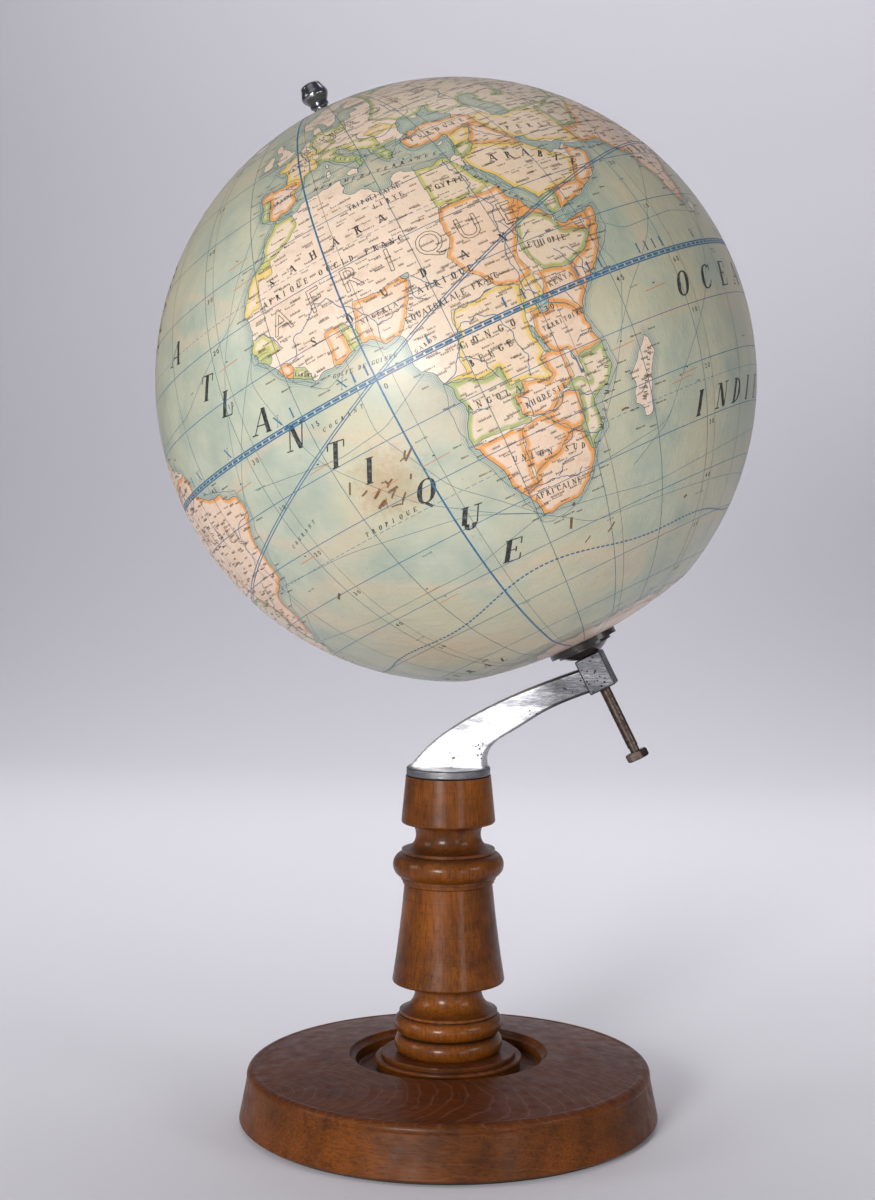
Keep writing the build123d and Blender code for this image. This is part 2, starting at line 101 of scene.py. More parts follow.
def millimetres(tree, stretch=(1, 1, 1), centre=(0, 0, 0)):
    """Object coordinates in millimetres, moved to a centre and stretched along each axis."""
    where = add(tree, "TexCoord").outputs["Object"]
    scale = tuple(1000 * s for s in stretch)
    shift = tuple(-c * s for c, s in zip(centre, stretch))
    return add(tree, "Mapping", {"Vector": where, "Scale": scale, "Location": shift})


def wear(material, *nodes):
    """Gives CAD nodes a material."""
    for name in nodes:
        slots = frame["nodes"][name].material_slots
        for slot in slots:
            slot.link = "OBJECT"
            slot.material = material


# Wool felt: matted fibres about 0.3 mm thick, so no gloss and a soft edge light.
felt, tree, shader = new_material("wool_felt_pressed")
fibre = add(tree, "TexNoise", {"Vector": millimetres(tree), "Scale": 2.2, "Detail": 4.0, "Roughness": 0.7})
give(tree, shader, {
    "Base Color": add(tree, "Mix", {0: add(tree, "MapRange", [fibre, 0.3, 0.7]), 6: "#141c15",
        7: "#2b3a2b"}, data_type="RGBA"),
    "Roughness": 0.95, "Sheen Weight": 0.4,
    "Normal": add(tree, "Bump", {"Height": fibre, "Distance": 0.2 / 1000})})
wear(felt, "base_felt")

# ---- turned base -----------------------------------------------------------------
# A thick round of beech, turned on a faceplate, with a moat round the stepped seat
# of the column.  The plank's grain runs across it, so arches of growth rings show on
# top and straight streaks round the side.  It is stained red-brown and varnished.


def varnished_beech(name, rings, streaks, pores, ring_strength, lathe_marks, light, dark, top_shade_tone, gloss):
    """Stained and varnished beech.

    rings is a socket that holds the distance from the heart of the tree in mm, and is
    made by the caller in the tree it is given; streaks and pores are the stretches of the
    fibre and pore patterns, small along the grain.  Faces that look up are pulled towards
    a darker top tone, which is painted shade, and grooves and hollows are darkened as
    painted shade.
    """
    material, tree, shader = new_material(name)
    place = millimetres(tree)
    drift = add(tree, "TexNoise", {"Vector": place, "Scale": 0.03, "Detail": 3.0})
    distance = rings(tree, place)
    wobble = add(tree, "Math", [drift, 2.6], operation="MULTIPLY")
    turn = add(tree, "Math", [add(tree, "Math", [distance, 1 / 3.4], operation="MULTIPLY"), wobble],
        operation="ADD")
    saw = add(tree, "Math", [turn, 0.0], operation="FRACT")
    late = add(tree, "MapRange", [saw, 0.80, 0.97])
    early = add(tree, "MapRange", [saw, 0.97, 1.0, 1.0, 0.0])
    facing = add(tree, "SeparateXYZ", {0: add(tree, "NewGeometry").outputs["Normal"]}).outputs["Z"]
    flat = add(tree, "MapRange", [facing, 0.55, 0.9])
    line = add(tree, "Math", [add(tree, "Math", [late, early], operation="MULTIPLY"),
        add(tree, "MapRange", [flat, 0.0, 1.0, 0.35, 1.0])], operation="MULTIPLY")
    fibre = add(tree, "TexNoise", {"Vector": millimetres(tree, streaks), "Scale": 1.0, "Detail": 4.0,
        "Roughness": 0.62})
    patch = add(tree, "TexNoise", {"Vector": place, "Scale": 0.022, "Detail": 3.0, "Roughness": 0.6})
    fleck = add(tree, "TexNoise", {"Vector": millimetres(tree, pores), "Scale": 1.0})
    colour = add(tree, "Mix", {0: add(tree, "MapRange", [patch, 0.35, 0.66]), 6: light, 7: dark},
        data_type="RGBA")
    # Painted shade: faces that look up are pulled towards the darker top tone.
    colour = add(tree, "Mix", {0: add(tree, "Math", [flat, 0.75], operation="MULTIPLY"), 6: colour,
        7: top_shade_tone}, data_type="RGBA")
    colour = add(tree, "Mix", {0: add(tree, "Math", [add(tree, "MapRange", [fibre, 0.42, 0.72]), 0.6],
        operation="MULTIPLY"), 6: colour, 7: "#33190b"}, data_type="RGBA")
    colour = add(tree, "Mix", {0: add(tree, "Math", [line, ring_strength], operation="MULTIPLY"), 6: colour,
        7: "#7d5646"}, data_type="RGBA")
    colour = add(tree, "Mix", {0: add(tree, "Math", [add(tree, "MapRange", [fleck, 0.64, 0.70]), 0.6],
        operation="MULTIPLY"), 6: colour, 7: "#1d0e07"}, data_type="RGBA")
    stain = add(tree, "TexNoise", {"Vector": place, "Scale": 0.07, "Detail": 5.0, "Roughness": 0.7})
    colour = add(tree, "Mix", {0: add(tree, "MapRange", [stain, 0.53, 0.70, 0.0, 0.6]), 6: colour,
        7: "#2a160c"}, data_type="RGBA")
    marks = add(tree, "TexNoise", {"Vector": millimetres(tree, lathe_marks), "Scale": 1.0, "Detail": 3.0,
        "Roughness": 0.6})
    colour = add(tree, "Mix", {0: add(tree, "Math", [add(tree, "MapRange", [marks, 0.56, 0.74]), 0.4],
        operation="MULTIPLY"), 6: colour, 7: "#2b160b"}, data_type="RGBA")
    # Painted shade: wherever nearby surfaces close the wood in, in grooves, the moat and round the rolls,
    # the colour is darkened towards near black.
    hollow = add(tree, "AmbientOcclusion", {"Distance": 0.007}, samples=6, only_local=True)
    groove_shade = add(tree, "MapRange", [hollow.outputs["AO"], 0.30, 0.85, 0.85, 0.0])
    colour = add(tree, "Mix", {0: groove_shade, 6: colour, 7: "#100905"}, data_type="RGBA")
    grime = add(tree, "TexNoise", {"Vector": place, "Scale": 0.12, "Detail": 4.0, "Roughness": 0.6})
    relief = add(tree, "Math", [add(tree, "Math", [fibre, 0.5], operation="MULTIPLY"),
        add(tree, "Math", [marks, 0.5], operation="MULTIPLY")], operation="ADD")
    give(tree, shader, {
        "Base Color": colour, "Roughness": add(tree, "MapRange", [grime, 0.3, 0.7, 0.34, 0.56]),
        "Coat Weight": gloss, "Coat Roughness": 0.17, "Specular IOR Level": 0.14,
        "Normal": add(tree, "Bump", {"Height": relief, "Distance": 0.10 / 1000})})
    return material


def rings_across(tree, place):
    """Distance from a tree axis that lies along the plank and dips below it towards +X."""
    axis = add(tree, "SeparateXYZ", {0: place})
    aside = add(tree, "Math", [axis.outputs["Y"], 74.0], operation="ADD")
    dip = add(tree, "Math", [add(tree, "Math", [axis.outputs["X"], 112.0], operation="ADD"), 0.42],
        operation="MULTIPLY")
    below = add(tree, "Math", [add(tree, "Math", [axis.outputs["Z"], 34.0], operation="SUBTRACT"), dip],
        operation="ADD")
    spread = add(tree, "CombineXYZ", {"Y": aside, "Z": below})
    return add(tree, "VectorMath", {0: spread}, operation="LENGTH").outputs["Value"]


# Beech has pores under 0.1 mm and short rays; they are drawn about 0.4 mm wide, as
# coarse as they need to be to show.  The stain leaves the plank darker than the post.
# The darker tone for faces that look up is painted shade on the tops of the base.
base_beech = varnished_beech(
    "beech_turned_stained_base", rings_across, streaks=(0.05, 0.85, 0.85), pores=(0.30, 1.5, 1.5),
    ring_strength=0.36, lathe_marks=(0.03, 0.5, 0.5), light="#733d0e", dark="#4c270a",
    top_shade_tone="#52250f", gloss=0.06)
wear(base_beech, "base_plinth")

# ---- turned column ---------------------------------------------------------------
# One beech spindle turned between centres: two rolls at the foot, a hollow, a tapered
# skirt, a heavy ring and a drum under the arm.  Every groove is painted darker, as shade.


def rings_along(tree, place):
    """Distance from a tree axis that stands upright, outside the spindle."""
    axis = add(tree, "SeparateXYZ", {0: place})
    aside = add(tree, "Math", [axis.outputs["X"], 38.0], operation="ADD")
    behind = add(tree, "Math", [axis.outputs["Y"], 30.0], operation="SUBTRACT")
    spread = add(tree, "CombineXYZ", {"X": aside, "Y": behind})
    return add(tree, "VectorMath", {0: spread}, operation="LENGTH").outputs["Value"]


# The same wood with the grain upright, rubbed to a warmer orange-brown by handling.
# The darker tone for faces that look up is painted shade on the tops of the rolls and ring.
column_beech = varnished_beech(
    "beech_turned_stained_column", rings_along, streaks=(0.9, 0.9, 0.05), pores=(1.5, 1.5, 0.30),
    ring_strength=0.25, lathe_marks=(0.02, 0.02, 1.6), light="#86490f", dark="#4b2607",
    top_shade_tone="#42210a", gloss=0.26)
wear(column_beech, "column")

# ---- tie rod, washer, nut and dowel ------------------------------------------------
# A steel rod with a nut and washer in the pocket under the foot pulls the arm, the
# column and the base together.  They are hidden once the felt is on.
plain_steel, tree, shader = new_material("mild_steel_turned")
mill = add(tree, "TexNoise", {"Vector": millimetres(tree, (1.2, 1.2, 0.1)), "Scale": 1.0, "Detail": 3.0})
give(tree, shader, {
    "Base Color": add(tree, "Mix", {0: mill, 6: "#8f8f91", 7: "#6d6c6c"},
        data_type="RGBA"), "Metallic": 1.0,
    "Roughness": add(tree, "MapRange", [mill, 0.3, 0.7, 0.28, 0.48])})
wear(plain_steel, "tie_rod", "tie_washer", "tie_nut", "arm_dowel", "north_washer")

# ---- cast arm ----------------------------------------------------------------------
# One sand casting in aluminium: a round mount, a curved web and a square boss.  It was
# filed and rubbed bright by hand, and small blow holes and grey smudges remain.
arm_metal, tree, shader = new_material("aluminium_cast_rubbed")
place = millimetres(tree)
smudge = add(tree, "TexNoise", {"Vector": millimetres(tree, (0.05, 0.10, 0.16)), "Scale": 1.0,
    "Detail": 4.0, "Roughness": 0.65})
cloud = add(tree, "TexNoise", {"Vector": place, "Scale": 0.35, "Detail": 5.0, "Roughness": 0.7})
rub = add(tree, "TexNoise", {"Vector": millimetres(tree, (0.25, 2.2, 0.9)), "Scale": 1.0, "Detail": 3.0,
    "Roughness": 0.6})
hole_place = add(tree, "TexVoronoi", {"Vector": place, "Scale": 0.42}, feature="F1")
hole_size = add(tree, "MapRange", [add(tree, "TexNoise", {"Vector": place, "Scale": 0.06}), 0.52, 0.64, 0.0,
    0.24])
hole = add(tree, "MapRange", [add(tree, "Math", [hole_place.outputs["Distance"], hole_size],
    operation="SUBTRACT"), -0.06, 0.03, 1.0, 0.0])
colour = add(tree, "Mix", {0: add(tree, "MapRange", [smudge, 0.38, 0.66]), 6: "#dcdcdf", 7: "#a2a2a6"},
    data_type="RGBA")
across = add(tree, "SeparateXYZ", {0: place})
# Painted shade: the arm is darkened towards the square boss, from x 34 mm to 62 mm.
colour = add(tree, "Mix", {0: add(tree, "MapRange", [across.outputs["X"], 34.0, 62.0, 0.0, 0.92]),
    6: colour, 7: "#3c3c40"}, data_type="RGBA")
# Painted shade: the round mount below z 200.2 mm is made a darker grey.
colour = add(tree, "Mix", {0: add(tree, "MapRange", [across.outputs["Z"], 200.2, 200.8, 0.75, 0.0]),
    6: colour, 7: "#5c5c60"}, data_type="RGBA")
colour = add(tree, "Mix", {0: add(tree, "Math", [add(tree, "MapRange", [cloud, 0.58, 0.76]), 0.40],
    operation="MULTIPLY"), 6: colour, 7: "#77777b"}, data_type="RGBA")
colour = add(tree, "Mix", {0: add(tree, "Math", [hole, 0.85], operation="MULTIPLY"), 6: colour,
    7: "#2a2a2c"}, data_type="RGBA")
relief = add(tree, "Math", [add(tree, "Math", [add(tree, "Math", [cloud, 0.5], operation="MULTIPLY"), rub],
    operation="ADD"), hole], operation="SUBTRACT")
give(tree, shader, {
    "Base Color": colour, "Metallic": 1.0,
    "Roughness": add(tree, "MapRange", [add(tree, "Math",
        [smudge, add(tree, "Math", [rub, 0.4], operation="MULTIPLY")], operation="ADD"), 0.45, 0.95, 0.34,
        0.58]),
    "Normal": add(tree, "Bump", {"Height": relief, "Distance": 0.16 / 1000})})
wear(arm_metal, "arm")

# ---- axle bolt ---------------------------------------------------------------------
# A long steel bolt with a hexagon head, through the boss and the whole globe.  The
# steel has browned with age, with brighter metal where it has been handled.
axle_steel, tree, shader = new_material("steel_browned_bolt")
place = millimetres(tree)
rust = add(tree, "TexNoise", {"Vector": place, "Scale": 0.35, "Detail": 5.0, "Roughness": 0.7})
grain = add(tree, "TexNoise", {"Vector": millimetres(tree, (2.5, 2.5, 0.35)), "Scale": 1.0, "Detail": 3.0})
colour = add(tree, "Mix", {0: add(tree, "MapRange", [rust, 0.35, 0.68]), 6: "#5d5049", 7: "#2e211a"},
    data_type="RGBA")
colour = add(tree, "Mix", {0: add(tree, "Math", [add(tree, "MapRange", [grain, 0.5, 0.8]), 0.5],
    operation="MULTIPLY"), 6: colour, 7: "#7d7068"}, data_type="RGBA")
give(tree, shader, {
    "Base Color": colour, "Metallic": 0.85, "Roughness": add(tree, "MapRange",
        [rust, 0.3, 0.7, 0.30, 0.52]),
    "Normal": add(tree, "Bump", {"Height": rust, "Distance": 0.08 / 1000})})
wear(axle_steel, "axle_bolt")

# ---- finial ------------------------------------------------------------------------
# An egg-shaped steel knob, turned and polished, that screws on the top of the axle.
finial_steel, tree, shader = new_material("steel_turned_polished")
scratch = add(tree, "TexNoise", {"Vector": millimetres(tree, (0.3, 0.3, 3.0)), "Scale": 1.0, "Detail": 4.0,
    "Roughness": 0.7})
give(tree, shader, {
    "Base Color": add(tree, "Mix", {0: add(tree, "MapRange", [scratch, 0.4, 0.75]), 6: "#9d9ea1",
        7: "#5f5f63"}, data_type="RGBA"),
    "Metallic": 1.0, "Roughness": add(tree, "MapRange", [scratch, 0.3, 0.8, 0.13, 0.30])})
wear(finial_steel, "finial")

# ---- hub and bushes ----------------------------------------------------------------
# Two black turned pieces, a disc and a stepped collar, glued to the south pole, and the
# brass bushes that the axle runs in.
ebonised, tree, shader = new_material("hardwood_ebonised_turned")
mark = add(tree, "TexNoise", {"Vector": millimetres(tree, (0.15, 0.15, 1.4)), "Scale": 1.0, "Detail": 4.0,
    "Roughness": 0.7})
give(tree, shader, {
    "Base Color": add(tree, "Mix", {0: add(tree, "MapRange", [mark, 0.4, 0.8]), 6: "#15100d",
        7: "#362a22"}, data_type="RGBA"),
    "Roughness": add(tree, "MapRange", [mark, 0.3, 0.7, 0.28, 0.50]), "Coat Weight": 0.3,
    "Normal": add(tree, "Bump", {"Height": mark, "Distance": 0.06 / 1000})})
wear(ebonised, "south_flange", "south_collar")

bush_brass, tree, shader = new_material("brass_turned_tarnished")
tarnish = add(tree, "TexNoise", {"Vector": millimetres(tree), "Scale": 0.5, "Detail": 4.0,
    "Roughness": 0.7})
give(tree, shader, {
    "Base Color": add(tree, "Mix", {0: add(tree, "MapRange", [tarnish, 0.35, 0.7]), 6: "#b08d4b",
        7: "#6b5430"}, data_type="RGBA"),
    "Metallic": 1.0, "Roughness": add(tree, "MapRange", [tarnish, 0.3, 0.7, 0.25, 0.45])})
wear(bush_brass, "north_bush", "south_bush")

# ---- core post, plugs, shells and strip --------------------------------------------
# Inside the globe a bored wooden post holds two pole blocks apart.  Two halves of
# pressed paper pulp are glued on the blocks, and joined inside by a strip of linen.
bare_wood, tree, shader = new_material("limewood_bare_turned")
fibre = add(tree, "TexNoise", {"Vector": millimetres(tree, (0.8, 0.8, 0.06)), "Scale": 1.0, "Detail": 4.0})
give(tree, shader, {
    "Base Color": add(tree, "Mix", {0: fibre, 6: "#d8bd8f", 7: "#b59462"}, data_type="RGBA"),
    "Roughness": 0.7})
wear(bare_wood, "core_post", "north_plug", "south_plug")

pulp, tree, shader = new_material("paper_pulp_pressed")
lump = add(tree, "TexNoise", {"Vector": millimetres(tree), "Scale": 0.6, "Detail": 5.0, "Roughness": 0.7})
give(tree, shader, {
    "Base Color": add(tree, "Mix", {0: lump, 6: "#c9bda3", 7: "#a3957a"}, data_type="RGBA"),
    "Roughness": 0.9, "Normal": add(tree, "Bump", {"Height": lump, "Distance": 0.3 / 1000})})
wear(pulp, "north_shell", "south_shell")

linen, tree, shader = new_material("linen_tape_glued")
thread = add(tree, "TexWave", {"Vector": millimetres(tree), "Scale": 0.6}, bands_direction="Z")
give(tree, shader, {
    "Base Color": add(tree, "Mix", {0: thread.outputs["Fac"], 6: "#c8b48c", 7: "#9a8863"},
        data_type="RGBA"),
    "Roughness": 0.9})
wear(linen, "equator_strip")

# ---- printed gores and polar calottes ------------------------------------------------
# Twelve tapering gores of printed, hand-coloured and varnished paper, pasted on edge to
# edge, with a round calotte over their tips at each pole.  The print has land in cream
# with washed borders, sea in pale grey-green, and everything else in fine line.
axis_tilt = math.radians(26.5)
globe_joint = next(j for j in frame["joints"] if j["name"] == "globe_spin")
globe_centre = np.array(globe_joint["pos_m"]) * 1000
globe_radius = 165.0
paper_inset = 0.08          # the printed face lies this far inside the nominal radius
ink_inset = 0.035
south_pole_height = 159.5   # the south pole is flattened to this height
south_cap_radius = 262.0
north = np.array([-math.sin(axis_tilt), 0.0, math.cos(axis_tilt)])
east_zero = np.array([math.cos(axis_tilt), 0.0, math.sin(axis_tilt)])
back = np.array([0.0, 1.0, 0.0])
zero_meridian = 2.337       # the map's own zero lies this far east of Greenwich, in degrees
first_meridian = zero_meridian + 2.84   # longitude of the meridian that faces -Y


def skin_radius(latitude):
    """Distance of the globe's face from its centre, in mm, at a latitude in radians."""
    drop = south_cap_radius - south_pole_height
    cap = drop * np.sin(latitude) + np.sqrt(south_cap_radius ** 2 - (drop * np.cos(latitude)) ** 2)
    soft = 0.13             # rounds the line where cap and sphere meet
    sphere = np.full_like(cap, globe_radius)
    return np.minimum(sphere, cap) - soft * np.log1p(np.exp(-np.abs(sphere - cap) / soft))


def direction(longitude, latitude):
    """Unit vectors from the globe's centre for longitudes and latitudes in degrees."""
    turned = np.radians(np.asarray(longitude, float) - first_meridian)
    up = np.radians(np.asarray(latitude, float))
    return ((np.cos(up) * np.cos(turned))[..., None] * -back
            + (np.cos(up) * np.sin(turned))[..., None] * east_zero + np.sin(up)[..., None] * north)


def on_globe(units, inset):
    """Points in metres on the globe's face along unit vectors."""
    latitude = np.arcsin(np.clip(units @ north, -1, 1))
    return (globe_centre + units * (skin_radius(latitude) - inset)[..., None]) / 1000


def outline(words):
    """Longitude and latitude pairs from a string of numbers."""
    numbers = np.array([float(word) for word in words.split()])
    return numbers.reshape(-1, 2)


luck = np.random.default_rng(1931)


def roughened(points, closed, step=0.55, raggedness=0.10):
    """A drawn line with small random bends, until its points are step degrees apart."""
    points = np.asarray(points, float)
    if closed:
        points = np.vstack([points, points[:1]])
    while True:
        gaps = np.diff(points, axis=0)
        gaps[:, 0] *= np.cos(np.radians(points[:-1, 1]))
        lengths = np.hypot(gaps[:, 0], gaps[:, 1])
        if lengths.max() <= step:
            return points
        made = [points[:1]]
        for start, end, length in zip(points[:-1], points[1:], lengths):
            if length > step:
                push = luck.normal(0, raggedness) * min(length, 3.0)
                across = np.array([-(end - start)[1], (end - start)[0]]) / max(length, 1e-6)
                made.append(((start + end) / 2 + across * push)[None])
            made.append(end[None])
        points = np.vstack(made)


